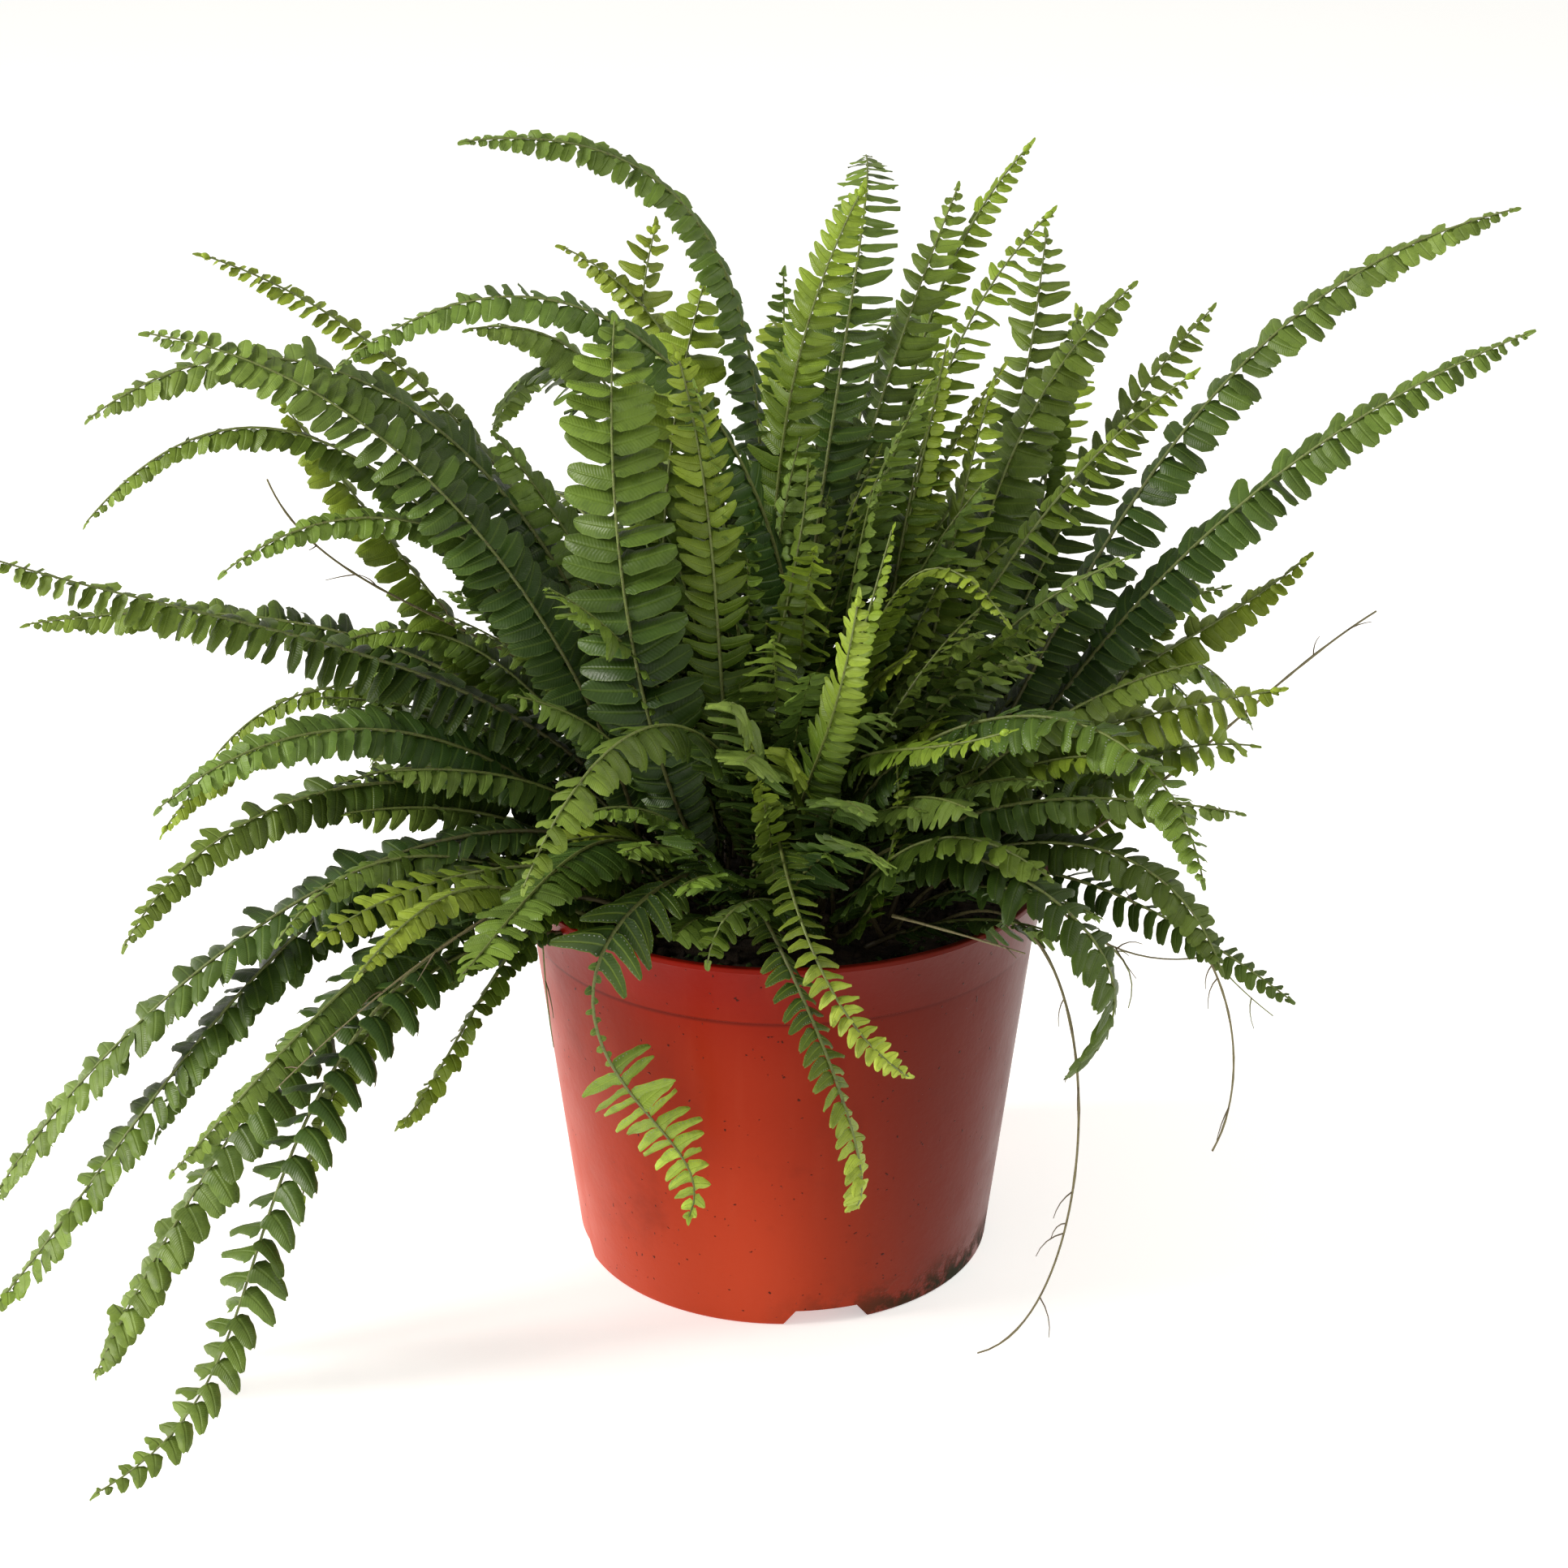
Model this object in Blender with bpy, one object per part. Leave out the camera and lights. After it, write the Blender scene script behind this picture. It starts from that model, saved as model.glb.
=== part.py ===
"""A boston fern in a red nursery pot. Lengths are in millimetres until a mesh is made.

The pot stands on z = 0. Each frond is one closed solid: a stalk that stands in a hole in the soil, a rib,
and leaflets cut down to the rib on both sides of one thin arched blade. The plant is laid out about the
pot's axis, and the whole is then moved so that the origin is below the middle of its outline.
"""

import math

import bmesh
import bpy
import numpy as np
from mathutils.bvhtree import BVHTree

MM = 0.001

# Pot
POT_SIDES = 32
POT_HEIGHT = 148.0
RIM_RADIUS = 95.0
LIP_WIDTH = 2.4
SEAM_HEIGHT = 125.7
SEAM_RADIUS = 90.0
BAND_STEP = 0.7
BASE_RADIUS = 75.0
WALL = 1.6
FOOT_WIDTH = 2.4
PANEL_HEIGHT = 6.6
PANEL_THICKNESS = 2.0
NOTCH_COUNT = 4
NOTCH_AZIMUTH = -78.5
NOTCH_BOTTOM_WIDTH = 31.0
NOTCH_TOP_WIDTH = 22.0
NOTCH_HEIGHT = 6.0
DRAIN_COUNT = 6
DRAIN_CIRCLE = 48.0
DRAIN_RADIUS = 5.0

# Soil
GAP = 0.3
SOIL_EDGE_HEIGHT = 133.0
SOIL_DOME = 4.0
HOLE_DEPTH = 9.0
HOLE_CLEARANCE = 0.35

# Fronds
ROOT_FIELD_RADIUS = 66.0
ROOT_FIELD_COUNT = 110
ROOT_LEAN = 0.5
STALK_SHARE = 0.13
STALK_STEP = 26.0
STALK_HALF_WIDTH = 1.3
RIB_HALF_WIDTH = 0.9
RIB_THICKNESS = 1.6
LEAFLET_PITCH = 14.2
PITCH_TAPER = 0.42
LEAFLET_SLANT = 0.22
LEAFLET_START = 0.14
LEAFLET_END = 0.76
LEAFLET_DROOP = 14.0
LENGTH_VARIATION = 0.12

# Clear space that a blade keeps to its neighbours, the pot and the floor, and how far it is moved for that
SLAB_HALF_THICKNESS = 1.6
SLAB_MARGIN = 1.2
SLAB_STEP = 8.0
POT_CLEARANCE = 2.0
FLOOR_CLEARANCE = 1.0
VIEWPOINT = np.array([0.0, -1036.0, 597.0])
MOST_TRIES = 3000
MOST_ROOTS = 8
MIDDLE_NUDGE = 70.0
TIP_NUDGE = 110.0
SIDE_NUDGE = 16.0
LIFT_NUDGE = 16.0
TURN_NUDGE = 35.0
SEED = 3

# Fresh colours of fronds by age: base colour in linear values
DARK = (0.035, 0.115, 0.03)
MATURE = (0.06, 0.17, 0.03)
YOUNG = (0.17, 0.31, 0.035)

# Colour, widths of the blade near its base and near its tip, roll of the blade about its rib in degrees,
# then the points that the rib passes, tip last
FRONDS = [
    # longest, over the left edge of the rim
    (DARK, (48, 24), -10, (-90, -90, 168), (-152, -150, 120), (-177, -170, 55), (-220, -185, 6)),
    # front
    (MATURE, (20, 16), 10, (-2, -70, 186), (8, -120, 170), (40, -130, 127)),
    (MATURE, (36, 22), 0, (-15, -70, 205), (-45, -115, 240), (-80, -145, 200)),
    (MATURE, (40, 32), 0, (-40, -85, 174), (-61, -121, 156), (-53, -116, 118), (-32, -103, 60)),
    (MATURE, (24, 16), 0, (-6, -88, 163), (12, -119, 134), (22, -108, 65)),
    (YOUNG, (26, 18), 50, (0, -75, 190), (10, -85, 225), (20, -80, 270)),
    (MATURE, (42, 42), -18, (-45, -60, 225), (-55, -50, 295), (-55, -30, 350)),
    (YOUNG, (26, 26), -37, (-20, -50, 220), (-25, -45, 290), (-35, -30, 340)),
    (MATURE, (36, 24), 10, (45, -75, 220), (95, -110, 240), (130, -140, 200)),
    (DARK, (40, 30), 10, (50, -90, 190), (90, -112, 178), (95, -98, 110)),
    (MATURE, (34, 26), -10, (-45, -75, 178), (-75, -110, 185), (-100, -140, 165)),
    (YOUNG, (32, 22), -15, (-60, -70, 172), (-115, -120, 190), (-145, -150, 185)),
    (YOUNG, (22, 16), -15, (-65, -60, 160), (-95, -75, 135), (-130, -80, 80)),
    (YOUNG, (22, 16), 0, (15, -50, 180), (35, -75, 215), (75, -95, 230)),
    (MATURE, (30, 20), 20, (65, -70, 180), (110, -100, 190), (140, -120, 160)),
    (DARK, (30, 16), 20, (80, -50, 165), (120, -70, 160), (170, -80, 130)),
    (YOUNG, (46, 24), 25, (65, -30, 190), (115, -40, 215), (165, -50, 230)),
    (MATURE, (32, 20), -10, (-10, -60, 225), (0, -60, 275), (5, -50, 310)),
    # left
    (DARK, (46, 24), -25, (-90, 0, 275), (-155, -10, 330), (-230, -20, 315)),
    (DARK, (40, 22), -25, (-75, -20, 230), (-125, -10, 295), (-215, 10, 335)),
    (DARK, (32, 18), -30, (-12, -20, 295), (-60, -30, 352), (-145, -30, 335)),
    (DARK, (44, 26), -10, (-85, -75, 178), (-179, -130, 105), (-230, -130, 15)),
    (DARK, (38, 26), -10, (-95, -80, 192), (-195, -110, 149), (-260, -120, 75)),
    (MATURE, (36, 24), -10, (-100, -50, 175), (-198, -98, 118), (-268, -120, 32)),
    (MATURE, (42, 20), -20, (-95, -20, 210), (-180, -40, 250), (-260, -60, 280)),
    (MATURE, (36, 18), -20, (-110, 20, 205), (-190, 30, 228), (-270, 30, 225)),
    (DARK, (36, 16), -20, (-90, -40, 195), (-145, -60, 220), (-205, -80, 200)),
    (MATURE, (36, 18), -20, (-100, -20, 180), (-165, -50, 190), (-220, -80, 150)),
    (YOUNG, (34, 18), -20, (-100, 40, 170), (-160, 50, 180), (-230, 40, 140)),
    (MATURE, (28, 13), -20, (-70, -40, 255), (-125, -50, 290), (-180, -60, 275)),
    (MATURE, (32, 15), -20, (-95, -30, 262), (-160, -40, 318), (-225, -50, 290)),
    (YOUNG, (38, 22), -30, (-95, 20, 200), (-135, 10, 260), (-170, 0, 315)),
    (YOUNG, (30, 16), -20, (-90, 80, 245), (-150, 90, 312), (-210, 90, 345)),
    # upper middle
    (YOUNG, (34, 22), 25, (-5, -10, 240), (5, 0, 335), (25, 10, 385)),
    (DARK, (38, 18), -40, (-10, 30, 310), (-33, 10, 379), (-102, -18, 406)),
    (MATURE, (36, 30), 0, (10, 20, 250), (25, 45, 350), (30, 120, 375)),
    (MATURE, (38, 28), 10, (15, 20, 235), (40, 40, 325), (60, 60, 375)),
    (YOUNG, (30, 18), 40, (35, 60, 235), (55, 70, 335), (85, 60, 390)),
    (YOUNG, (34, 20), 40, (40, 20, 250), (60, 20, 330), (90, 20, 375)),
    (MATURE, (38, 36), 20, (65, 60, 205), (85, 80, 285), (95, 100, 350)),
    (YOUNG, (40, 36), -20, (-30, 50, 220), (-50, 60, 305), (-45, 70, 360)),
    (YOUNG, (34, 24), 45, (45, 0, 200), (60, 0, 275), (70, 0, 320)),
    # right
    (DARK, (36, 20), 25, (100, 0, 245), (165, 10, 335), (240, 0, 380)),
    (DARK, (36, 20), 25, (100, -30, 230), (160, -30, 297), (242, -30, 348)),
    (MATURE, (42, 24), 25, (80, 60, 205), (120, 80, 280), (155, 90, 325)),
    (YOUNG, (34, 20), 35, (50, -20, 215), (90, -20, 285), (135, -20, 330)),
    (YOUNG, (34, 18), 25, (95, 20, 190), (145, 30, 220), (185, 30, 250)),
    # back
    (YOUNG, (34, 24), 20, (70, 90, 195), (100, 110, 265), (110, 130, 315)),
    (MATURE, (40, 22), 0, (20, 90, 240), (40, 160, 300), (60, 240, 270)),
    (MATURE, (40, 20), 0, (-40, 90, 230), (-80, 160, 280), (-120, 230, 240)),
    (MATURE, (34, 16), 10, (80, 70, 180), (130, 85, 190), (162, 95, 158)),
    (DARK, (38, 20), 0, (0, 100, 185), (0, 170, 190), (-10, 235, 120)),
    (DARK, (36, 18), 0, (60, 90, 175), (115, 145, 170), (155, 190, 90)),
    (DARK, (36, 18), 0, (-65, 80, 180), (-120, 130, 185), (-170, 170, 110)),
]

# Stretches of a frond's rib that carry no leaflets, as shares of its blade
BARE_STRETCHES = {4: (0.40, 0.60)}

# Runners: thickness, then the points that each passes through, end last
RUNNERS = [
    (1.8, (131, -40, 193), (171, -20, 220), (206, 0, 239)),
    (1.6, (80, -60, 175), (125, -75, 165), (150, -75, 120), (148, -65, 65)),
    (1.6, (80, -88, 160), (98, -106, 100), (66, -112, 12)),
    (1.6, (-90, -15, 230), (-150, -10, 262), (-176, 0, 290)),
]


def unit(vector):
    return vector / np.linalg.norm(vector)


def smooth_path(points, step=2.0):
    """Points about every step along the smooth curve through the given points."""
    points = np.array(points, float)
    chords = np.linalg.norm(np.diff(points, axis=0), axis=1)
    knots = np.concatenate([[0], np.cumsum(chords)]) / chords.sum()
    coefficients = np.linalg.solve(np.vander(knots), points)
    fine = np.vander(np.linspace(0, 1, 300), len(points)) @ coefficients
    lengths = np.concatenate([[0], np.cumsum(np.linalg.norm(np.diff(fine, axis=0), axis=1))])
    even = np.linspace(0, lengths[-1], int(lengths[-1] / step) + 2)
    return np.stack([np.interp(even, lengths, column) for column in fine.T], axis=1), lengths[-1]


class Spine:
    """A rib's centre line, with the blade's sideways and upward directions along it."""

    def __init__(self, points, roll=0.0, heading=None):
        self.points, self.length = smooth_path(points)
        self.tangents = np.gradient(self.points, axis=0)
        self.tangents /= np.linalg.norm(self.tangents, axis=1)[:, None]
        if heading is None:
            heading = self.points[-1] - self.points[0]
        across = unit(np.array([-heading[1], heading[0], 0.0]))
        along = self.tangents @ across
        sideways = across - along[:, None] * self.tangents
        sideways /= np.linalg.norm(sideways, axis=1)[:, None]
        upward = np.cross(self.tangents, sideways)
        turn = math.radians(roll)
        self.sideways = sideways * math.cos(turn) + upward * math.sin(turn)
        self.upward = np.cross(self.tangents, self.sideways)

    def at(self, distance):
        """The centre, tangent, sideways and upward directions at one or more distances along the rib."""
        place = np.clip(np.asarray(distance) / self.length, 0.0, 1.0) * (len(self.points) - 1)
        low = np.minimum(place.astype(int), len(self.points) - 2)
        share = (place - low)[..., None]
        return [row[low] * (1 - share) + row[low + 1] * share
                for row in (self.points, self.tangents, self.sideways, self.upward)]


def blade_reach(share, widths):
    """How far leaflets reach from the rib at a share of the blade's length."""
    width = widths[0] + (widths[1] - widths[0]) * share
    return 0.5 * width * np.minimum(1.0, 0.3 + 2.2 * share) * (1.0 - share**5) ** 0.8


def soil_height(x, y):
    return SOIL_EDGE_HEIGHT + SOIL_DOME * (1.0 - (x * x + y * y) / SEAM_RADIUS**2)


def root_field():
    """Places where a stalk can come up, spread evenly over the soil like seeds in a sunflower."""
    golden = math.pi * (3.0 - math.sqrt(5.0))
    radii = [ROOT_FIELD_RADIUS * math.sqrt((i + 0.5) / ROOT_FIELD_COUNT) for i in range(ROOT_FIELD_COUNT)]
    return [(r * math.cos(i * golden), r * math.sin(i * golden)) for i, r in enumerate(radii)]


def near_roots(free, first):
    """The free places nearest to where a stem towards the first point would rise, the nearest first."""
    wanted = np.array(first[:2], float) * ROOT_LEAN
    return sorted(free, key=lambda place: math.dist(place, wanted))[:MOST_ROOTS]


def surface_point(spine, distance, side, reach):
    """A point of the blade's middle surface, reach away from the rib and hanging a little."""
    centre, _, sideways, upward = spine.at(distance)
    droop = math.radians(LEAFLET_DROOP)
    return centre + reach * (side * math.cos(droop) * sideways - math.sin(droop) * upward)


def slab(spine, widths):
    """Points and triangles of a thick ribbon that encloses a frond."""
    stations = max(int(spine.length / SLAB_STEP), 4)
    start = STALK_SHARE * spine.length
    distance = np.linspace(0.0, spine.length, stations + 1)
    reach = np.full(stations + 1, STALK_HALF_WIDTH)
    in_blade = distance > start - SLAB_STEP
    shares = np.clip((distance - start) / (spine.length - start), 0.0, 1.0)
    reach[in_blade] = np.maximum(reach, blade_reach(shares, widths))[in_blade]
    reach += SLAB_MARGIN
    ahead = distance + LEAFLET_SLANT * reach
    left, right = (surface_point(spine, ahead, side, reach[:, None]) for side in (1, -1))
    rib, _, _, upward = spine.at(distance)
    lift = upward * SLAB_HALF_THICKNESS
    rows = [left + lift, rib + lift, right + lift, right - lift, rib - lift, left - lift]
    points = np.stack(rows, axis=1).reshape(-1, 3).tolist()
    faces = []
    for i in range(stations):
        for k in range(6):
            a, b = 6 * i + k, 6 * i + (k + 1) % 6
            faces += [(a, b, b + 6), (a, b + 6, a + 6)]
    return points, faces


def pot_guard():
    """A skin round the pot's wall and over the soil that no blade may cross."""
    out = POT_CLEARANCE
    profile = [(0.0, SOIL_EDGE_HEIGHT + SOIL_DOME + 1.0), (RIM_RADIUS - 7.0, SOIL_EDGE_HEIGHT + 1.0),
               (RIM_RADIUS - LIP_WIDTH - out, POT_HEIGHT + out), (RIM_RADIUS + out, POT_HEIGHT + out),
               (SEAM_RADIUS + BAND_STEP + out, SEAM_HEIGHT), (BASE_RADIUS + out, 0.0)]
    points, faces = [], []
    for i in range(POT_SIDES):
        angle = 2 * math.pi * i / POT_SIDES
        points += [(r * math.cos(angle), r * math.sin(angle), z) for r, z in profile]
    count = len(profile)
    for i in range(POT_SIDES):
        for k in range(count - 1):
            a, b = count * i + k, count * ((i + 1) % POT_SIDES) + k
            faces += [(a, b, b + 1), (a, b + 1, a + 1)]
    return points, faces


class Settled:
    """The ribbons placed so far, as one search tree."""

    def __init__(self):
        self.points, self.faces = pot_guard()
        self.tree = BVHTree.FromPolygons(self.points, self.faces)

    def free(self, points, faces):
        if min(point[2] for point in points) < FLOOR_CLEARANCE:
            return False
        return not self.tree.overlap(BVHTree.FromPolygons(points, faces))

    def add(self, points, faces):
        base = len(self.points)
        self.points += [tuple(point) for point in points]
        self.faces += [tuple(base + corner for corner in face) for face in faces]
        self.tree = BVHTree.FromPolygons(self.points, self.faces)


def bend_clear(settled, free, points, roll, widths):
    """The spine through the points, moved along the lines of sight as little as clears what is settled."""
    draw = np.random.default_rng([SEED, len(free)])
    points = np.array(points, float)
    sight = points - VIEWPOINT
    sight /= np.linalg.norm(sight, axis=1)[:, None]
    heading = points[-1] - points[0]
    weights = np.linspace(0, 1, len(points))[:, None]
    places = near_roots(free, points[0])
    for attempt in range(MOST_TRIES):
        freedom = attempt / MOST_TRIES
        middle, tip, turn = freedom * draw.uniform(-1, 1, 3)
        side, lift = freedom**2 * draw.uniform(-1, 1, 2)
        place = places[draw.integers(0, 1 + int(freedom * (len(places) - 1)) + (attempt > 20))]
        depth = MIDDLE_NUDGE * middle * (1 - weights) + TIP_NUDGE * tip * weights
        moved = points + sight * depth + (SIDE_NUDGE * side, 0.0, LIFT_NUDGE * lift)
        root = np.array([*place, soil_height(*place) + 2.0])
        spine = Spine([root, *moved], roll + TURN_NUDGE * turn, heading)
        ribbon = slab(spine, widths)
        if settled.free(*ribbon):
            settled.add(*ribbon)
            free.remove(place)
            return spine
    raise ValueError(f"No clear way for a stem through {points.tolist()}")


def lay_out():
    """The spines of all fronds and runners, none of them crossing another."""
    free = root_field()
    settled = Settled()
    fronds = [bend_clear(settled, free, points, roll, widths) for _, widths, roll, *points in FRONDS]
    runners = [bend_clear(settled, free, points, 0.0, (0.0, 0.0)) for _, *points in RUNNERS]
    return fronds, runners


class Mesh:
    """Collects a solid's points and faces, in millimetres."""

    def __init__(self):
        self.points = []
        self.faces = []

    def point(self, place):
        self.points.append(tuple(place))
        return len(self.points) - 1

    def ring(self, spine, distance, half_width, half_height):
        """Four corners round the rib: left top, left bottom, right bottom, right top."""
        centre, _, sideways, upward = spine.at(distance)
        return self.corners(centre, sideways * half_width, upward * half_height)

    def corners(self, centre, sideways, upward):
        return [self.point(centre + sideways + upward), self.point(centre + sideways - upward),
                self.point(centre - sideways - upward), self.point(centre - sideways + upward)]

    def join(self, low, high):
        """Four walls between two rings."""
        for k in range(4):
            a, b, c, d = low[k], low[(k + 1) % 4], high[(k + 1) % 4], high[k]
            self.faces += [(a, b, c), (a, c, d)]

    def object(self, name, material):
        data = bpy.data.meshes.new(name)
        data.from_pydata([tuple(MM * value for value in point) for point in self.points], [], self.faces)
        return finish(name, data, material)


def finish(name, data, material):
    """Makes an object of a mesh, faces outward, with its material."""
    work = bmesh.new()
    work.from_mesh(data)
    bmesh.ops.recalc_face_normals(work, faces=work.faces)
    work.to_mesh(data)
    work.free()
    data.materials.append(material)
    obj = bpy.data.objects.new(name, data)
    bpy.context.scene.collection.objects.link(obj)
    return obj


def buried_ring(mesh, spine, half_width):
    """The cut end of a stem at the bottom of its hole, straight below the first point of the spine."""
    centre, tangent, sideways, upward = spine.at(0.0)
    ring = mesh.corners(centre - tangent * (HOLE_DEPTH - 0.5), sideways * half_width, upward * half_width)
    mesh.faces += [(ring[0], ring[3], ring[2]), (ring[0], ring[2], ring[1])]
    return ring


def stem(mesh, spine, length, start_half, end_half):
    """A square stem from its buried end to a distance along the spine. Returns its last ring."""
    last = buried_ring(mesh, spine, start_half[0])
    steps = max(int(round(length / STALK_STEP)), 2)
    for i in range(steps + 1):
        share = i / steps
        half = [a * (1 - share) + b * share for a, b in zip(start_half, end_half)]
        ring = mesh.ring(spine, length * share, *half)
        mesh.join(last, ring)
        last = ring
    return last


def frond_mesh(spine, widths, number):
    """One frond: its stalk, then leaflets left and right in turn along the rib, then an end leaflet."""
    mesh = Mesh()
    start = STALK_SHARE * spine.length
    blade = spine.length - start
    pairs = max(int(round(blade / LEAFLET_PITCH)), 5)
    bare_from, bare_to = BARE_STRETCHES.get(number, (1.0, 1.0))

    def notch(k):
        """Where the notch after k leaflets of one side is: they get shorter towards the tip."""
        share = k / (pairs + 0.5)
        return blade * share * (1.0 + PITCH_TAPER * (1.0 - share))

    ring = stem(mesh, spine, start, (STALK_HALF_WIDTH, STALK_HALF_WIDTH),
                (RIB_HALF_WIDTH, RIB_THICKNESS / 2))
    rails = {1: [(0.0, ring[0], ring[1])], -1: [(0.0, ring[3], ring[2])]}
    stops = {1: [notch(k) for k in range(1, pairs + 1)],
             -1: [notch(k + 0.5) for k in range(pairs)] + [notch(pairs)]}
    for side in (1, -1):
        for place in stops[side]:
            centre, _, sideways, upward = spine.at(start + place)
            thin = 1.0 - 0.4 * place / blade
            edge = centre + side * RIB_HALF_WIDTH * thin * sideways
            lift = upward * RIB_THICKNESS / 2 * thin
            rails[side].append((place, mesh.point(edge + lift), mesh.point(edge - lift)))
    for side in (1, -1):
        for k in range(len(rails[side]) - 1):
            low, high = rails[side][k], rails[side][k + 1]
            half_gap = side < 0 and k in (0, pairs)
            if half_gap or bare_from < (low[0] + high[0]) / 2 / blade < bare_to:
                plain_rib(mesh, low, high)
            else:
                leaflet(mesh, spine, start, widths, side, low, high, number + k)
    close_rib(mesh, rails)
    tip = mesh.point(spine.at(spine.length)[0])
    left, right = rails[1][-1], rails[-1][-1]
    mesh.faces += [(left[1], tip, right[1]), (left[2], right[2], tip), (left[1], left[2], tip),
                   (right[1], tip, right[2])]
    return mesh


def plain_rib(mesh, low, high):
    """The side of the rib between two of its points, where no leaflet grows."""
    mesh.faces += [(low[1], low[2], high[2]), (low[1], high[2], high[1])]


def leaflet(mesh, spine, start, widths, side, low, high, number):
    """One leaflet between two notches of the rib."""
    span = high[0] - low[0]
    share = (low[0] + high[0]) / 2 / (spine.length - start)
    variation = LENGTH_VARIATION * (0.5 + 0.5 * math.sin(2.4 * number + side))
    reach = blade_reach(share, widths) * (1.0 - variation)
    ends = []
    for corner in (LEAFLET_START, LEAFLET_END):
        place = start + low[0] + corner * span + LEAFLET_SLANT * reach
        ends.append(mesh.point(surface_point(spine, place, side, reach)))
    near, far = ends
    mesh.faces += [(low[1], near, far), (low[1], far, high[1])]
    mesh.faces += [(low[2], far, near), (low[2], high[2], far)]
    mesh.faces += [(low[1], low[2], near), (high[1], far, high[2])]


def close_rib(mesh, rails):
    """The rib's top and underside, zipped between the notches of its two sides."""
    i = j = 0
    left, right = rails[1], rails[-1]
    while i < len(left) - 1 or j < len(right) - 1:
        left_next = left[i + 1][0] if i < len(left) - 1 else math.inf
        right_next = right[j + 1][0] if j < len(right) - 1 else math.inf
        if left_next <= right_next:
            mesh.faces.append((left[i][1], left[i + 1][1], right[j][1]))
            mesh.faces.append((left[i][2], right[j][2], left[i + 1][2]))
            i += 1
        else:
            mesh.faces.append((left[i][1], right[j + 1][1], right[j][1]))
            mesh.faces.append((left[i][2], right[j][2], right[j + 1][2]))
            j += 1


def runner_mesh(spine, thickness):
    """A wiry runner, square in section, ending in a small bud."""
    mesh = Mesh()
    half = thickness / 2
    last = stem(mesh, spine, spine.length - 5.0, (STALK_HALF_WIDTH, STALK_HALF_WIDTH), (half, half))
    bud = mesh.ring(spine, spine.length - 2.5, 2 * half, 2 * half)
    mesh.join(last, bud)
    tip = mesh.point(spine.at(spine.length)[0])
    mesh.faces += [(bud[k], bud[(k + 1) % 4], tip) for k in range(4)]
    return mesh


def hole_mesh(spine):
    """A cutter for the hole that a stem stands in."""
    mesh = Mesh()
    centre, tangent, sideways, upward = spine.at(0.0)
    half = STALK_HALF_WIDTH + HOLE_CLEARANCE
    low = mesh.corners(centre - tangent * HOLE_DEPTH, sideways * half, upward * half)
    high = mesh.corners(centre + tangent * HOLE_DEPTH, sideways * half, upward * half)
    mesh.join(low, high)
    mesh.faces += [(low[0], low[3], low[2]), (low[0], low[2], low[1])]
    mesh.faces += [(high[0], high[1], high[2]), (high[0], high[2], high[3])]
    return mesh


def turned(name, profile, sides, material):
    """A closed solid turned round the z axis from a profile that starts and ends on the axis."""
    work = bmesh.new()
    rows = []
    for radius, height in profile:
        if radius == 0.0:
            rows.append([work.verts.new((0.0, 0.0, MM * height))])
            continue
        angles = [2 * math.pi * k / sides for k in range(sides)]
        rows.append([work.verts.new((MM * radius * math.cos(a), MM * radius * math.sin(a), MM * height))
                     for a in angles])
    for low, high in zip(rows, rows[1:]):
        for k in range(sides):
            corners = [low[k % len(low)], low[(k + 1) % len(low)]]
            corners += [high[(k + 1) % len(high)], high[k % len(high)]]
            work.faces.new(list(dict.fromkeys(corners)))
    data = bpy.data.meshes.new(name)
    work.to_mesh(data)
    work.free()
    return finish(name, data, material)


def prism(name, outline, low, high, azimuth):
    """A cutter: an outline in the y and z directions, run from low to high along the azimuth."""
    work = bmesh.new()
    ends = [[work.verts.new((MM * x, MM * y, MM * z)) for y, z in outline] for x in (low, high)]
    work.faces.new(ends[0])
    work.faces.new(ends[1][::-1])
    for k in range(len(outline)):
        j = (k + 1) % len(outline)
        work.faces.new((ends[0][k], ends[1][k], ends[1][j], ends[0][j]))
    data = bpy.data.meshes.new(name)
    work.to_mesh(data)
    work.free()
    obj = finish(name, data, None)
    obj.rotation_euler[2] = math.radians(azimuth)
    return obj


def cut(target, cutters, solver="EXACT"):
    """Cuts all the cutters from the target, then removes them."""
    group = bpy.data.collections.new(target.name + "_cutters")
    bpy.context.scene.collection.children.link(group)
    for cutter in cutters:
        bpy.context.scene.collection.objects.unlink(cutter)
        group.objects.link(cutter)
        cutter.hide_render = True
        cutter.display_type = "WIRE"
    modifier = target.modifiers.new("cut", "BOOLEAN")
    modifier.operation = "DIFFERENCE"
    modifier.operand_type = "COLLECTION"
    modifier.collection = group
    modifier.solver = solver
    graph = bpy.context.evaluated_depsgraph_get()
    data = bpy.data.meshes.new_from_object(target.evaluated_get(graph))
    target.modifiers.clear()
    target.data = data
    for cutter in cutters:
        bpy.data.objects.remove(cutter)
    bpy.data.collections.remove(group)


def inner_radius(height):
    """The radius of the pot's inside at a height below the rim."""
    outside = BASE_RADIUS + (SEAM_RADIUS - BASE_RADIUS) * height / SEAM_HEIGHT
    if height > SEAM_HEIGHT:
        share = (height - SEAM_HEIGHT) / (POT_HEIGHT - SEAM_HEIGHT)
        outside = SEAM_RADIUS + (RIM_RADIUS - SEAM_RADIUS) * share
    return outside - WALL


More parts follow.
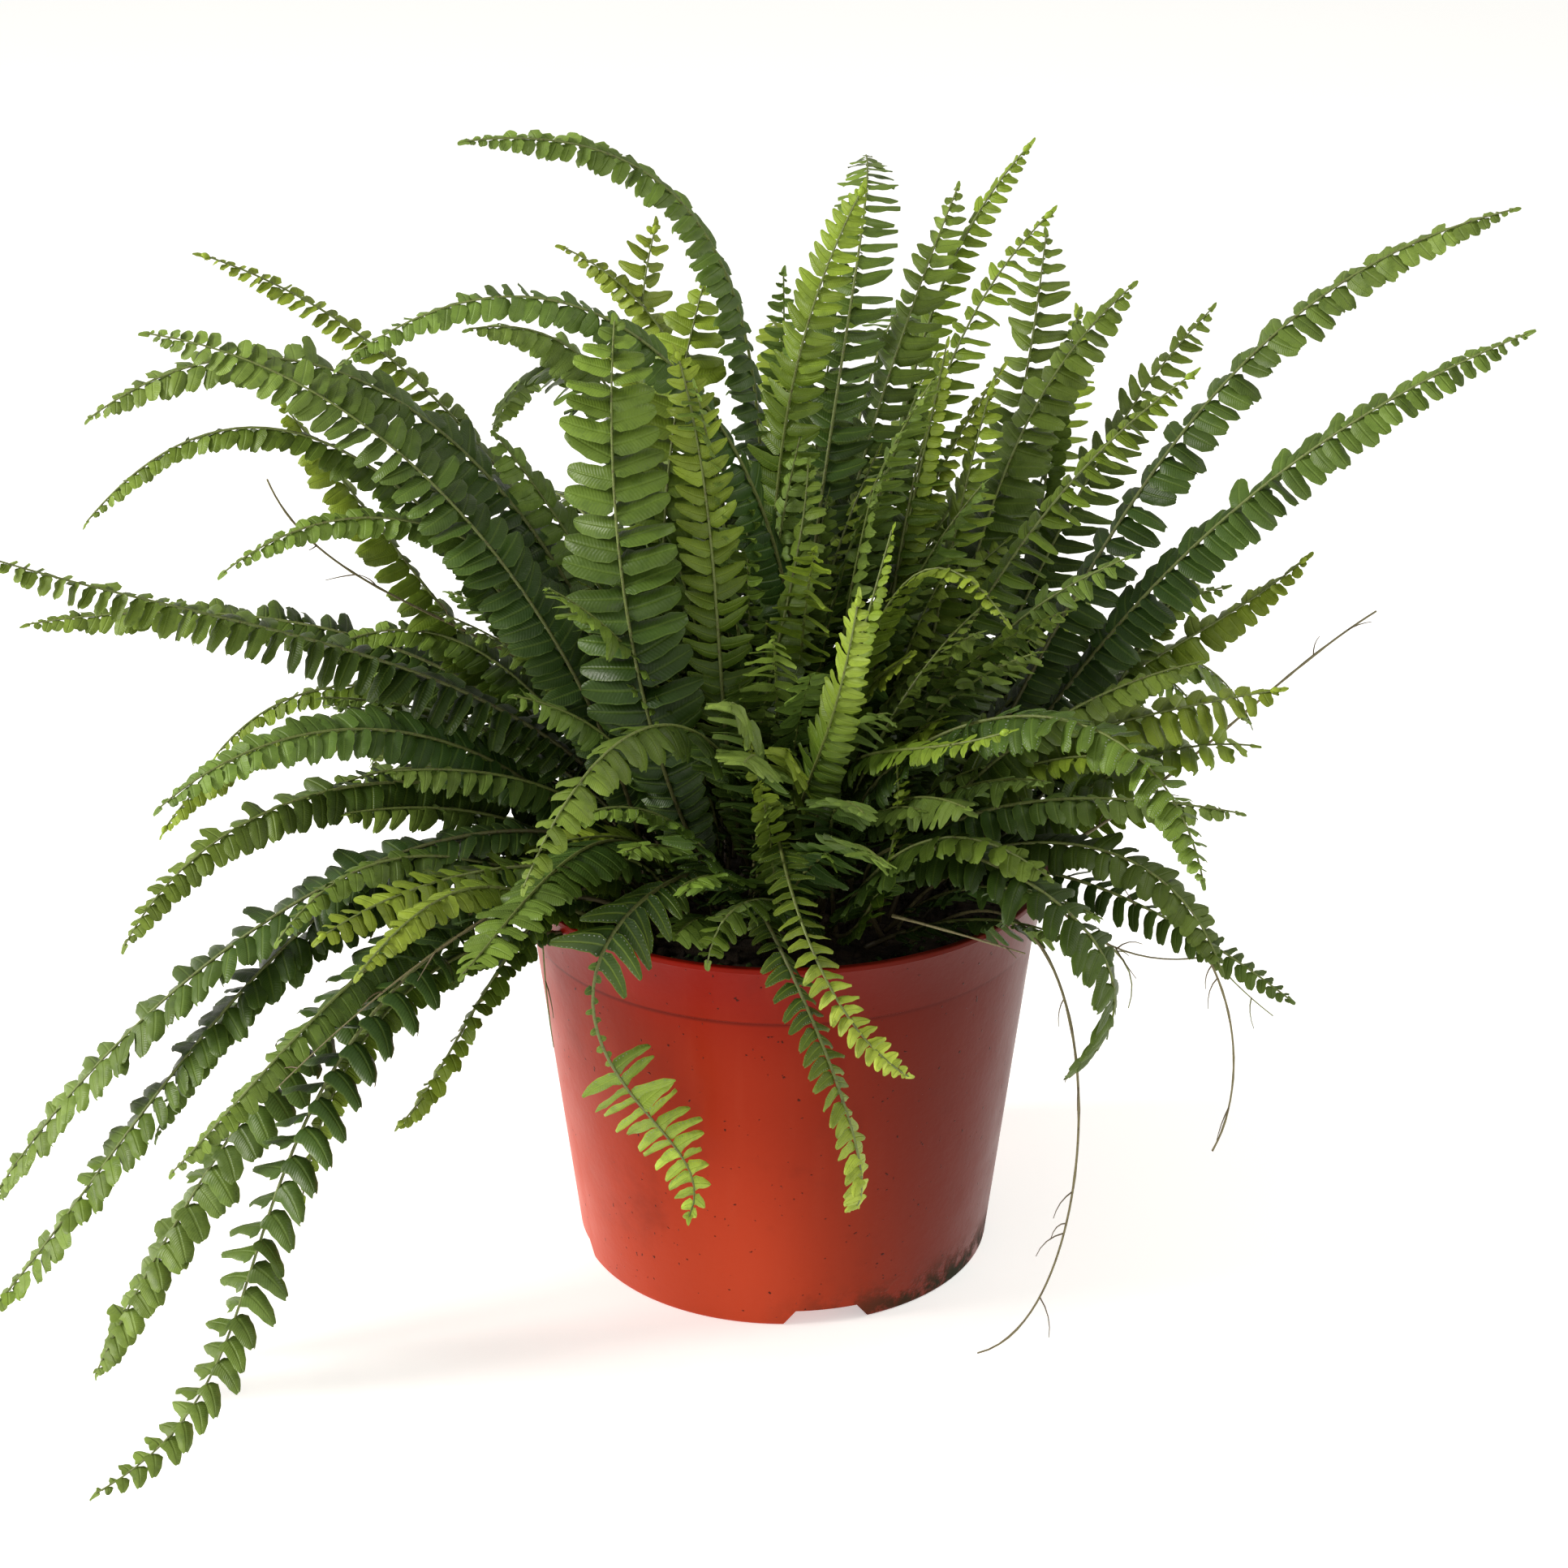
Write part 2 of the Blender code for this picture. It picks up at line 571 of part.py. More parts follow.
def make_pot(material):
    floor = PANEL_HEIGHT + PANEL_THICKNESS
    foot_inside = BASE_RADIUS - FOOT_WIDTH
    profile = [
        (0.0, PANEL_HEIGHT),
        (foot_inside, PANEL_HEIGHT),
        (foot_inside, 0.0),
        (BASE_RADIUS, 0.0),
        (SEAM_RADIUS, SEAM_HEIGHT),
        (SEAM_RADIUS + BAND_STEP, SEAM_HEIGHT + 0.4),
        (RIM_RADIUS - 0.3, POT_HEIGHT - 2.2),
        (RIM_RADIUS, POT_HEIGHT - 1.8),
        (RIM_RADIUS, POT_HEIGHT),
        (RIM_RADIUS - LIP_WIDTH, POT_HEIGHT),
        (inner_radius(SEAM_HEIGHT), SEAM_HEIGHT),
        (inner_radius(floor), floor),
        (0.0, floor),
    ]
    pot = turned("pot", profile, POT_SIDES, material)
    half_low, half_high = NOTCH_BOTTOM_WIDTH / 2, NOTCH_TOP_WIDTH / 2
    outline = [(-half_low * 1.05, -1.0), (half_low * 1.05, -1.0)]
    outline += [(half_high, NOTCH_HEIGHT), (-half_high, NOTCH_HEIGHT)]
    azimuths = [NOTCH_AZIMUTH + 360 * k / NOTCH_COUNT for k in range(NOTCH_COUNT)]
    cutters = [prism("notch", outline, BASE_RADIUS - 15, BASE_RADIUS + 10, azimuth) for azimuth in azimuths]
    for k in range(DRAIN_COUNT):
        angle = 2 * math.pi * (k + 0.5) / DRAIN_COUNT
        profile = [(0.0, 0.0), (DRAIN_RADIUS, 0.0), (DRAIN_RADIUS, 20.0), (0.0, 20.0)]
        drain = turned("drain", profile, 8, None)
        drain.location = (MM * DRAIN_CIRCLE * math.cos(angle), MM * DRAIN_CIRCLE * math.sin(angle), 0.0)
        cutters.append(drain)
    cut(pot, cutters)
    pot.data.shade_smooth()
    pot.data.set_sharp_from_angle(angle=math.radians(30))
    return pot


def make_soil(material, spines):
    bottom = PANEL_HEIGHT + PANEL_THICKNESS + GAP
    edge = inner_radius(SOIL_EDGE_HEIGHT) - GAP
    mid = edge * 0.6
    profile = [
        (0.0, bottom),
        (inner_radius(bottom) - GAP, bottom),
        (inner_radius(SEAM_HEIGHT) - GAP, SEAM_HEIGHT),
        (edge, SOIL_EDGE_HEIGHT),
        (mid, soil_height(mid, 0.0)),
        (0.0, soil_height(0.0, 0.0)),
    ]
    soil = turned("soil", profile, POT_SIDES, material)
    cut(soil, [hole_mesh(spine).object("hole", None) for spine in spines], "MANIFOLD")
    return soil


def material(name, colour, roughness, coat=0.0):
    made = bpy.data.materials.new(name)
    made.use_nodes = True
    shader = made.node_tree.nodes["Principled BSDF"]
    shader.inputs["Base Color"].default_value = (*colour, 1.0)
    shader.inputs["Roughness"].default_value = roughness
    shader.inputs["Metallic"].default_value = 0.0
    shader.inputs["Coat Weight"].default_value = coat
    made.diffuse_color = (*colour, 1.0)
    return made


def centre_on_footprint(objects):
    """Moves everything so that the origin is below the middle of the whole outline."""
    points = np.concatenate([np.array([vertex.co[:2] for vertex in obj.data.vertices]) for obj in objects])
    middle = (points.min(axis=0) + points.max(axis=0)) / 2
    for obj in objects:
        obj.location = (-middle[0], -middle[1], 0.0)


def main():
    for obj in list(bpy.data.objects):
        bpy.data.objects.remove(obj)
    red = material("red_plastic", (0.55, 0.04, 0.02), 0.3, 0.4)
    peat = material("peat", (0.03, 0.02, 0.012), 0.95)
    brown = material("runner_brown", (0.16, 0.08, 0.03), 0.6)
    fronds, runners = lay_out()
    objects = [make_pot(red), make_soil(peat, fronds + runners)]
    for number, (spine, (colour, widths, *_)) in enumerate(zip(fronds, FRONDS), 1):
        green = material(f"frond_green_{number:02d}", colour, 0.45)
        objects.append(frond_mesh(spine, widths, number).object(f"frond_{number:02d}", green))
    for number, (spine, (thickness, *_)) in enumerate(zip(runners, RUNNERS), 1):
        objects.append(runner_mesh(spine, thickness).object(f"runner_{number}", brown))
    centre_on_footprint(objects)


main()
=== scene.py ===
"""The dressed boston fern in its red nursery pot.

Finer pieces stand for every frond, runner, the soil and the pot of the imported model, in the same places.
Small inner fronds, loose strands, moss and litter are added. Lengths are in millimetres about the pot's
axis until a mesh is made.
"""

import math

import bmesh
import bpy
import numpy as np
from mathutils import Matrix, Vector, noise
from mathutils.bvhtree import BVHTree


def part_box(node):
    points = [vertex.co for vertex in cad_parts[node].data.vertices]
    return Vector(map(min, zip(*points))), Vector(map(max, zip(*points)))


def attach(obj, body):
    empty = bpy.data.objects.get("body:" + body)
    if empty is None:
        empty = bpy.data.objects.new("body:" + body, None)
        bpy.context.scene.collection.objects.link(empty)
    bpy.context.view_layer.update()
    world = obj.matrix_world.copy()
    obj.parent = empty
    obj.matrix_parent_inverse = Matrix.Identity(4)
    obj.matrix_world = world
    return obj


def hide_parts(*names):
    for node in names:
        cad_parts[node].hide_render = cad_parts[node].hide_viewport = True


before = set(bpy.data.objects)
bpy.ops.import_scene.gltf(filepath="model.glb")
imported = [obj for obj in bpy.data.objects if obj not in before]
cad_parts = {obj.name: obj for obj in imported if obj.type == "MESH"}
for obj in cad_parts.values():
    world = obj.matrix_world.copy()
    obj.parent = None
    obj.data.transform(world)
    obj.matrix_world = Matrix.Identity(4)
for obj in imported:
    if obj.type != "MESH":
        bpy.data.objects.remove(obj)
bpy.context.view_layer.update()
pot_low, pot_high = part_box("pot")
POT_PLACE = ((pot_low.x + pot_high.x) / 2, (pot_low.y + pot_high.y) / 2, 0.0)

MM = 0.001
GOLDEN_ANGLE = math.pi * (3.0 - math.sqrt(5.0))

# Pot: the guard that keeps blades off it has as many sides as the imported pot, the dressed pot has more
POT_SIDES = 32
FINE_SIDES = 160
DRAIN_SIDES = 24
POT_HEIGHT = 148.0
RIM_RADIUS = 95.0
LIP_WIDTH = 2.4
SEAM_HEIGHT = 125.7
SEAM_RADIUS = 90.0
BAND_STEP = 0.7
BASE_RADIUS = 75.0
WALL = 1.6
FOOT_WIDTH = 2.4
PANEL_HEIGHT = 6.6
PANEL_THICKNESS = 2.0
NOTCH_COUNT = 4
NOTCH_AZIMUTH = -78.5
NOTCH_BOTTOM_WIDTH = 31.0
NOTCH_TOP_WIDTH = 22.0
NOTCH_HEIGHT = 6.0
DRAIN_COUNT = 6
DRAIN_CIRCLE = 48.0
DRAIN_RADIUS = 5.0
CUTTER_LENGTH = 20.0
POT_SHARP_EDGE = math.radians(32)

# Rounded corners of the pot's profile: steps round each, then corner and radius, the last corner first
CORNER_STEPS = 4
CORNERS = ((9, 0.6), (8, 0.6), (3, 1.2), (2, 0.5))

# Soil
GAP = 0.3
SOIL_EDGE_HEIGHT = 133.0
SOIL_DOME = 4.0
HOLE_DEPTH = 9.0
SOIL_RINGS = 44
SOIL_SPOKES = 132

# Crumbs and moss cushions: their number, the share of moss, and ranges of size, wear and stretch
CRUMB_COUNT = 1500
MOSS_SHARE = 0.35
CUSHION_SIZES = (0.5, 1.3)
CRUMB_SIZES = (0.5, 2.4)
CRUMB_WEAR = (0.4, 1.0)
STRETCHES = (0.6, 1.5)

# Fronds
ROOT_FIELD_RADIUS = 66.0
ROOT_FIELD_COUNT = 110
ROOT_LEAN = 0.5
STALK_SHARE = 0.13
STALK_HALF_WIDTH = 1.3
LEAFLET_SLANT = 0.22
LEAFLET_DROOP = 14.0
LENGTH_VARIATION = 0.12

# Clear space that a blade keeps to its neighbours, the pot and the floor, and how far it is moved for that
SLAB_HALF_THICKNESS = 1.6
SLAB_MARGIN = 1.2
SLAB_STEP = 8.0
POT_CLEARANCE = 2.0
FLOOR_CLEARANCE = 1.0
VIEWPOINT = np.array([0.0, -1036.0, 597.0])
MOST_TRIES = 3000
MOST_ROOTS = 8
MIDDLE_NUDGE = 70.0
TIP_NUDGE = 110.0
SIDE_NUDGE = 16.0
LIFT_NUDGE = 16.0
TURN_NUDGE = 35.0
SEED = 3

# Ages of fronds, the oldest first
DARK, MATURE, YOUNG = "dark", "mature", "young"

# Age, widths of the blade near its base and near its tip, roll of the blade about its rib in degrees,
# then the points that the rib passes, tip last
FRONDS = [
    # longest, over the left edge of the rim
    (DARK, (48, 24), -10, (-90, -90, 168), (-152, -150, 120), (-177, -170, 55), (-220, -185, 6)),
    # front
    (MATURE, (20, 16), 10, (-2, -70, 186), (8, -120, 170), (40, -130, 127)),
    (MATURE, (36, 22), 0, (-15, -70, 205), (-45, -115, 240), (-80, -145, 200)),
    (MATURE, (40, 32), 0, (-40, -85, 174), (-61, -121, 156), (-53, -116, 118), (-32, -103, 60)),
    (MATURE, (24, 16), 0, (-6, -88, 163), (12, -119, 134), (22, -108, 65)),
    (YOUNG, (26, 18), 50, (0, -75, 190), (10, -85, 225), (20, -80, 270)),
    (MATURE, (42, 42), -18, (-45, -60, 225), (-55, -50, 295), (-55, -30, 350)),
    (YOUNG, (26, 26), -37, (-20, -50, 220), (-25, -45, 290), (-35, -30, 340)),
    (MATURE, (36, 24), 10, (45, -75, 220), (95, -110, 240), (130, -140, 200)),
    (DARK, (40, 30), 10, (50, -90, 190), (90, -112, 178), (95, -98, 110)),
    (MATURE, (34, 26), -10, (-45, -75, 178), (-75, -110, 185), (-100, -140, 165)),
    (YOUNG, (32, 22), -15, (-60, -70, 172), (-115, -120, 190), (-145, -150, 185)),
    (YOUNG, (22, 16), -15, (-65, -60, 160), (-95, -75, 135), (-130, -80, 80)),
    (YOUNG, (22, 16), 0, (15, -50, 180), (35, -75, 215), (75, -95, 230)),
    (MATURE, (30, 20), 20, (65, -70, 180), (110, -100, 190), (140, -120, 160)),
    (DARK, (30, 16), 20, (80, -50, 165), (120, -70, 160), (170, -80, 130)),
    (YOUNG, (46, 24), 25, (65, -30, 190), (115, -40, 215), (165, -50, 230)),
    (MATURE, (32, 20), -10, (-10, -60, 225), (0, -60, 275), (5, -50, 310)),
    # left
    (DARK, (46, 24), -25, (-90, 0, 275), (-155, -10, 330), (-230, -20, 315)),
    (DARK, (40, 22), -25, (-75, -20, 230), (-125, -10, 295), (-215, 10, 335)),
    (DARK, (32, 18), -30, (-12, -20, 295), (-60, -30, 352), (-145, -30, 335)),
    (DARK, (44, 26), -10, (-85, -75, 178), (-179, -130, 105), (-230, -130, 15)),
    (DARK, (38, 26), -10, (-95, -80, 192), (-195, -110, 149), (-260, -120, 75)),
    (MATURE, (36, 24), -10, (-100, -50, 175), (-198, -98, 118), (-268, -120, 32)),
    (MATURE, (42, 20), -20, (-95, -20, 210), (-180, -40, 250), (-260, -60, 280)),
    (MATURE, (36, 18), -20, (-110, 20, 205), (-190, 30, 228), (-270, 30, 225)),
    (DARK, (36, 16), -20, (-90, -40, 195), (-145, -60, 220), (-205, -80, 200)),
    (MATURE, (36, 18), -20, (-100, -20, 180), (-165, -50, 190), (-220, -80, 150)),
    (YOUNG, (34, 18), -20, (-100, 40, 170), (-160, 50, 180), (-230, 40, 140)),
    (MATURE, (28, 13), -20, (-70, -40, 255), (-125, -50, 290), (-180, -60, 275)),
    (MATURE, (32, 15), -20, (-95, -30, 262), (-160, -40, 318), (-225, -50, 290)),
    (YOUNG, (38, 22), -30, (-95, 20, 200), (-135, 10, 260), (-170, 0, 315)),
    (YOUNG, (30, 16), -20, (-90, 80, 245), (-150, 90, 312), (-210, 90, 345)),
    # upper middle
    (YOUNG, (34, 22), 25, (-5, -10, 240), (5, 0, 335), (25, 10, 385)),
    (DARK, (38, 18), -40, (-10, 30, 310), (-33, 10, 379), (-102, -18, 406)),
    (MATURE, (36, 30), 0, (10, 20, 250), (25, 45, 350), (30, 120, 375)),
    (MATURE, (38, 28), 10, (15, 20, 235), (40, 40, 325), (60, 60, 375)),
    (YOUNG, (30, 18), 40, (35, 60, 235), (55, 70, 335), (85, 60, 390)),
    (YOUNG, (34, 20), 40, (40, 20, 250), (60, 20, 330), (90, 20, 375)),
    (MATURE, (38, 36), 20, (65, 60, 205), (85, 80, 285), (95, 100, 350)),
    (YOUNG, (40, 36), -20, (-30, 50, 220), (-50, 60, 305), (-45, 70, 360)),
    (YOUNG, (34, 24), 45, (45, 0, 200), (60, 0, 275), (70, 0, 320)),
    # right
    (DARK, (36, 20), 25, (100, 0, 245), (165, 10, 335), (240, 0, 380)),
    (DARK, (36, 20), 25, (100, -30, 230), (160, -30, 297), (242, -30, 348)),
    (MATURE, (42, 24), 25, (80, 60, 205), (120, 80, 280), (155, 90, 325)),
    (YOUNG, (34, 20), 35, (50, -20, 215), (90, -20, 285), (135, -20, 330)),
    (YOUNG, (34, 18), 25, (95, 20, 190), (145, 30, 220), (185, 30, 250)),
    # back
    (YOUNG, (34, 24), 20, (70, 90, 195), (100, 110, 265), (110, 130, 315)),
    (MATURE, (40, 22), 0, (20, 90, 240), (40, 160, 300), (60, 240, 270)),
    (MATURE, (40, 20), 0, (-40, 90, 230), (-80, 160, 280), (-120, 230, 240)),
    (MATURE, (34, 16), 10, (80, 70, 180), (130, 85, 190), (162, 95, 158)),
    (DARK, (38, 20), 0, (0, 100, 185), (0, 170, 190), (-10, 235, 120)),
    (DARK, (36, 18), 0, (60, 90, 175), (115, 145, 170), (155, 190, 90)),
    (DARK, (36, 18), 0, (-65, 80, 180), (-120, 130, 185), (-170, 170, 110)),
]

# Stretches of a frond's rib that carry no leaflets, as shares of its blade
BARE_STRETCHES = {4: (0.40, 0.60)}

# Runners: thickness, then the points that each passes through, end last
RUNNERS = [
    (1.8, (131, -40, 193), (171, -20, 220), (206, 0, 239)),
    (1.6, (80, -60, 175), (125, -75, 165), (150, -75, 120), (148, -65, 65)),
    (1.6, (80, -88, 160), (98, -106, 100), (66, -112, 12)),
    (1.6, (-90, -15, 230), (-150, -10, 262), (-176, 0, 290)),
]

# Leaflets: points along and across the long ones, the short ones, and those inside the plant
LONG_GRID = (10, 5)
SHORT_GRID = (8, 3)
COARSE_GRID = (6, 3)
SHORT_REACH = 9.5
PITCH_BASE = 2.7
PITCH_PER_WIDTH = 0.13
LEAFLET_THICKNESS = 0.36
TOOTH = 0.035
AURICLE = 0.42
SKYWARD = 0.6
TIP_FULLNESS = 0.9
STUNTED_SHARE = 0.16
END_LEAFLET_LENGTH = 4.0
END_LEAFLET_BREADTH = 2.4
SHARP_EDGE = math.radians(75)

# Random spread of a whole frond's droop, twist and curl, with angles in degrees
FROND_DROOPS = 6
FROND_TWISTS = 14
FROND_CURLS = (0.02, 0.20)

# Random spread of single leaflets, with angles in degrees
DROOPS = 7
TURNS = 13
SLANTS = 0.08
BREADTHS = (0.90, 1.08)
CUPS = (0.10, 0.55)

# Outlines of leaflets: how far they taper and curve ahead, and their breadth as a share of their spacing
BLUNT_OUTLINE = (0.12, 0.09, 1.16)
SICKLE_OUTLINE = (0.48, 0.20, 0.98)
NARROW_OUTLINE = (0.16, 0.14, 0.88)

# Ribs, stalks and strands
STALK_RADIUS = 1.1
RIB_RADIUS = 0.8
RIB_TIP_RADIUS = 0.3
KNOB_RADIUS = 1.2
KNOB_LENGTH = 3.2
ROOTLET_LENGTHS = (4, 11)
ROOTLET_RADII = (0.28, 0.12)
TUBE_SIDES = 6

# Small fronds in the middle, low and tall: number, radius of their field, ranges of lengths and of leans
LOW_SET = (72, 58.0, (75, 150), (12, 65))
TALL_SET = (44, 50.0, (130, 215), (4, 34))
INNER_AGES = (MATURE, DARK, DARK, YOUNG, DARK, MATURE, DARK)

# Shorter fronds between the long ones: age, widths, roll, then the points that the rib passes, tip last
SHORT_FRONDS = [
    (MATURE, (26, 13), 15, (96, 0, 178), (128, 10, 228), (152, 20, 258)),
    (MATURE, (34, 17), 15, (65, -40, 194), (102, -45, 224), (139, -40, 236)),
    (DARK, (32, 16), 10, (66, -60, 190), (108, -75, 201), (149, -80, 198)),
    (MATURE, (42, 21), 0, (29, -75, 173), (53, -98, 197), (85, -105, 186)),
    (YOUNG, (24, 12), 20, (46, 10, 270), (61, 10, 302), (74, 10, 324)),
    (YOUNG, (24, 12), 20, (43, 10, 270), (50, 10, 305), (55, 10, 332)),
    (MATURE, (28, 14), 10, (92, 80, 230), (99, 85, 284), (107, 90, 323)),
    (YOUNG, (30, 15), -20, (-25, 50, 282), (-45, 60, 327), (-78, 70, 352)),
    (YOUNG, (16, 10), 60, (20, -60, 231), (29, -60, 266), (35, -55, 287)),
    (YOUNG, (20, 10), 40, (-4, -75, 179), (-7, -85, 206), (-13, -88, 231)),
    (YOUNG, (26, 13), 0, (28, -40, 241), (47, -50, 272), (72, -70, 261)),
    (MATURE, (26, 13), 10, (26, -50, 198), (47, -50, 238), (65, -40, 255)),
    (YOUNG, (16, 10), 30, (31, -75, 167), (37, -80, 196), (36, -82, 219)),
    (DARK, (34, 17), 10, (-18, -80, 172), (-43, -98, 206), (-71, -110, 207)),
    (YOUNG, (30, 15), -10, (-72, -70, 159), (-105, -120, 187), (-132, -150, 173)),
    (YOUNG, (26, 13), -20, (-108, 40, 184), (-158, 40, 198), (-206, 30, 175)),
    (DARK, (34, 17), -10, (-102, -40, 164), (-170, -65, 138), (-215, -80, 78)),
    (MATURE, (26, 14), -10, (-110, -80, 160), (-146, -130, 152), (-195, -150, 103)),
    (YOUNG, (22, 11), -10, (-109, -90, 150), (-139, -135, 134), (-154, -150, 94)),
    (MATURE, (32, 16), -20, (-81, 0, 202), (-115, 5, 228), (-160, 0, 226)),
    (DARK, (46, 23), -20, (-47, 30, 276), (-77, 30, 328), (-107, 20, 335)),
    (MATURE, (28, 14), -15, (-97, -20, 186), (-135, -30, 193), (-172, -40, 179)),
    (MATURE, (26, 13), -15, (-85, -50, 162), (-131, -75, 179), (-166, -95, 159)),
    (DARK, (34, 17), 0, (-2, -80, 166), (-16, -98, 172), (-25, -104, 155)),
    (YOUNG, (46, 40), -20, (-42, 20, 230), (-38, 30, 300), (-28, 40, 345)),
    (DARK, (42, 30), -30, (-50, 10, 215), (-75, 10, 265), (-98, 10, 300)),
    (YOUNG, (36, 30), 10, (110, -30, 190), (135, -40, 205), (158, -45, 208)),
    (MATURE, (40, 26), 25, (60, 10, 230), (85, 30, 300), (120, 40, 345)),
    (MATURE, (40, 30), 10, (5, 40, 240), (15, 50, 310), (20, 50, 350)),
    (DARK, (36, 26), -25, (-70, 0, 225), (-100, -5, 270), (-135, -10, 296)),
    (DARK, (38, 26), 15, (90, 60, 185), (140, 85, 195), (180, 100, 160)),
    (MATURE, (40, 26), 0, (40, 100, 200), (70, 160, 230), (85, 205, 205)),
    (YOUNG, (38, 26), 0, (0, 110, 230), (0, 175, 285), (-5, 215, 290)),
    (MATURE, (38, 24), 0, (-50, 100, 200), (-85, 150, 235), (-115, 190, 220)),
    (DARK, (40, 26), 0, (30, 100, 175), (50, 150, 165), (55, 185, 110)),
    (MATURE, (38, 24), -10, (-80, 80, 185), (-130, 100, 195), (-170, 105, 165)),
    (YOUNG, (34, 22), 0, (60, 80, 220), (90, 130, 262), (105, 165, 262)),
]

# Threads: thickness, then the points that each passes through
THREADS = [
    (0.9, (-82, -62, 146), (-81, -66, 128), (-79, -66, 105)),
    (1.1, (89, -62, 160), (119, -70, 142), (146, -70, 142)),
    (0.9, (129, -66, 163), (146, -70, 139), (166, -72, 120)),
    (1.3, (36, -80, 161), (57, -92, 160), (79, -99, 156)),
    (1.0, (105, -58, 144), (118, -62, 131), (118, -62, 118)),
    (0.9, (-87, -90, 172), (-123, -130, 161), (-160, -150, 133)),
]

# Leaf colours at the frond's base, in its middle and at its tip, and whether the leaves have lime dots
LEAF_COLOURS = {
    # deep: a darker copy of the dark leaves, painted shade for fronds in the shade by the rim on the right
    "deep": ((0.009, 0.021, 0.003), (0.018, 0.038, 0.004), (0.090, 0.135, 0.018), False),
    DARK: ((0.010, 0.026, 0.005), (0.022, 0.052, 0.008), (0.145, 0.218, 0.036), False),
    MATURE: ((0.009, 0.023, 0.003), (0.019, 0.044, 0.005), (0.140, 0.210, 0.027), False),
    YOUNG: ((0.015, 0.036, 0.004), (0.040, 0.077, 0.006), (0.205, 0.280, 0.025), False),
    "dotted": ((0.012, 0.029, 0.005), (0.028, 0.058, 0.008), (0.150, 0.220, 0.028), True),
    "lit": ((0.012, 0.029, 0.005), (0.030, 0.066, 0.008), (0.400, 0.520, 0.060), True),
}
LIME = (0.30, 0.34, 0.27)

# Stem colours at the base and towards the tip, and of the scurf on them
RIB_COLOURS = (0.045, 0.034, 0.013), (0.115, 0.150, 0.028)
RUNNER_COLOURS = (0.075, 0.048, 0.020), (0.170, 0.150, 0.065)
THREAD_COLOURS = (0.10, 0.11, 0.035), (0.17, 0.20, 0.06)
SCURF = (0.045, 0.024, 0.010)

# Pot colours from the foot up, darker upward as painted shade from the leaves over it, of the marks on it,
# and of its gleam
POT_LOW = (0.470, 0.052, 0.018)
POT_MIDDLE_SHADED = (0.310, 0.024, 0.007)
POT_HIGH_SHADED = (0.222, 0.008, 0.003)
# Painted shade and soil dirt on the inside of the rim
POT_INSIDE_SHADE_AND_DIRT = (0.12, 0.009, 0.005)
POT_SHADE = (0.075, 0.009, 0.005)
# Painted shade: a thin dark line under the step of the band
POT_SEAM_SHADE = (0.075, 0.008, 0.005)
POT_BLOOM = (0.42, 0.065, 0.030)
POT_GRIME = (0.085, 0.011, 0.006)
POT_SPECK = (0.026, 0.008, 0.005)
POT_ALGAE = (0.016, 0.018, 0.008)
POT_GLEAM = (0.38, 0.26, 0.24)

# Peat and moss, dark and light
PEAT_COLOURS = (0.012, 0.008, 0.005), (0.045, 0.030, 0.018)
MOSS_COLOURS = (0.020, 0.045, 0.010), (0.070, 0.120, 0.025)

# Fronds, by number, that differ from the others: in leaf colour, spacing of the leaflets, and outline
# Fronds 10, 15 and 16 take the deep leaves, which are painted shade
FINISHES = {2: "lit", 4: "lit", 5: "lit", 9: "dotted", 10: "deep", 15: "deep", 16: "deep"}
SHORT_FINISHES = {14: "dotted", 24: "dotted"}
SPACINGS = {1: 1.35, 22: 1.2}
SICKLE_FRONDS = (1, 2, 4, 5, 6, 8, 14, 34, 36, 37, 38, 39, 40, 41, 42, 45, 46, 48)
NARROW_FRONDS = (10, 16)

# Seeds of the short and of the inner fronds start here, so that they differ from the long ones'
SHORT_SEED = 500
INNER_SEED = 1000

# Studio: lamps by name, place, target, size and power, the surround, the floor, and the camera's lens
LAMPS = [
    ("key", (-2.0, -0.4, 1.2), (-0.1, 0.0, 0.15), (0.8, 0.8), 65.0),
    ("fill", (1.4, -0.1, 1.8), (0.0, 0.0, 0.2), (1.0, 1.0), 15.0),
    ("strip", (POT_PLACE[0] + 0.02, -2.2, 0.55), (POT_PLACE[0], 0.0, 0.1), (0.06, 0.8), 7.0),
]
LAMP_COLOUR = (1.0, 0.97, 0.90)
SURROUND_COLOUR = (1.0, 0.98, 0.92, 1.0)
SURROUND_STRENGTH = 0.52
FLOOR_SIZE = 8.0
FLOOR_GLOW = 0.45
SENSOR_WIDTH = 36.0
LENS = 72.54
CAMERA_TILT = 22.13


def unit(vector):
    return vector / np.linalg.norm(vector)


def smooth_path(points, step=2.0):
    """Points about every step along the smooth curve through the given points."""
    points = np.array(points, float)
    chords = np.linalg.norm(np.diff(points, axis=0), axis=1)
    knots = np.concatenate([[0], np.cumsum(chords)]) / chords.sum()
    coefficients = np.linalg.solve(np.vander(knots), points)
    fine = np.vander(np.linspace(0, 1, 300), len(points)) @ coefficients
    lengths = np.concatenate([[0], np.cumsum(np.linalg.norm(np.diff(fine, axis=0), axis=1))])
    even = np.linspace(0, lengths[-1], int(lengths[-1] / step) + 2)
    return np.stack([np.interp(even, lengths, column) for column in fine.T], axis=1), lengths[-1]


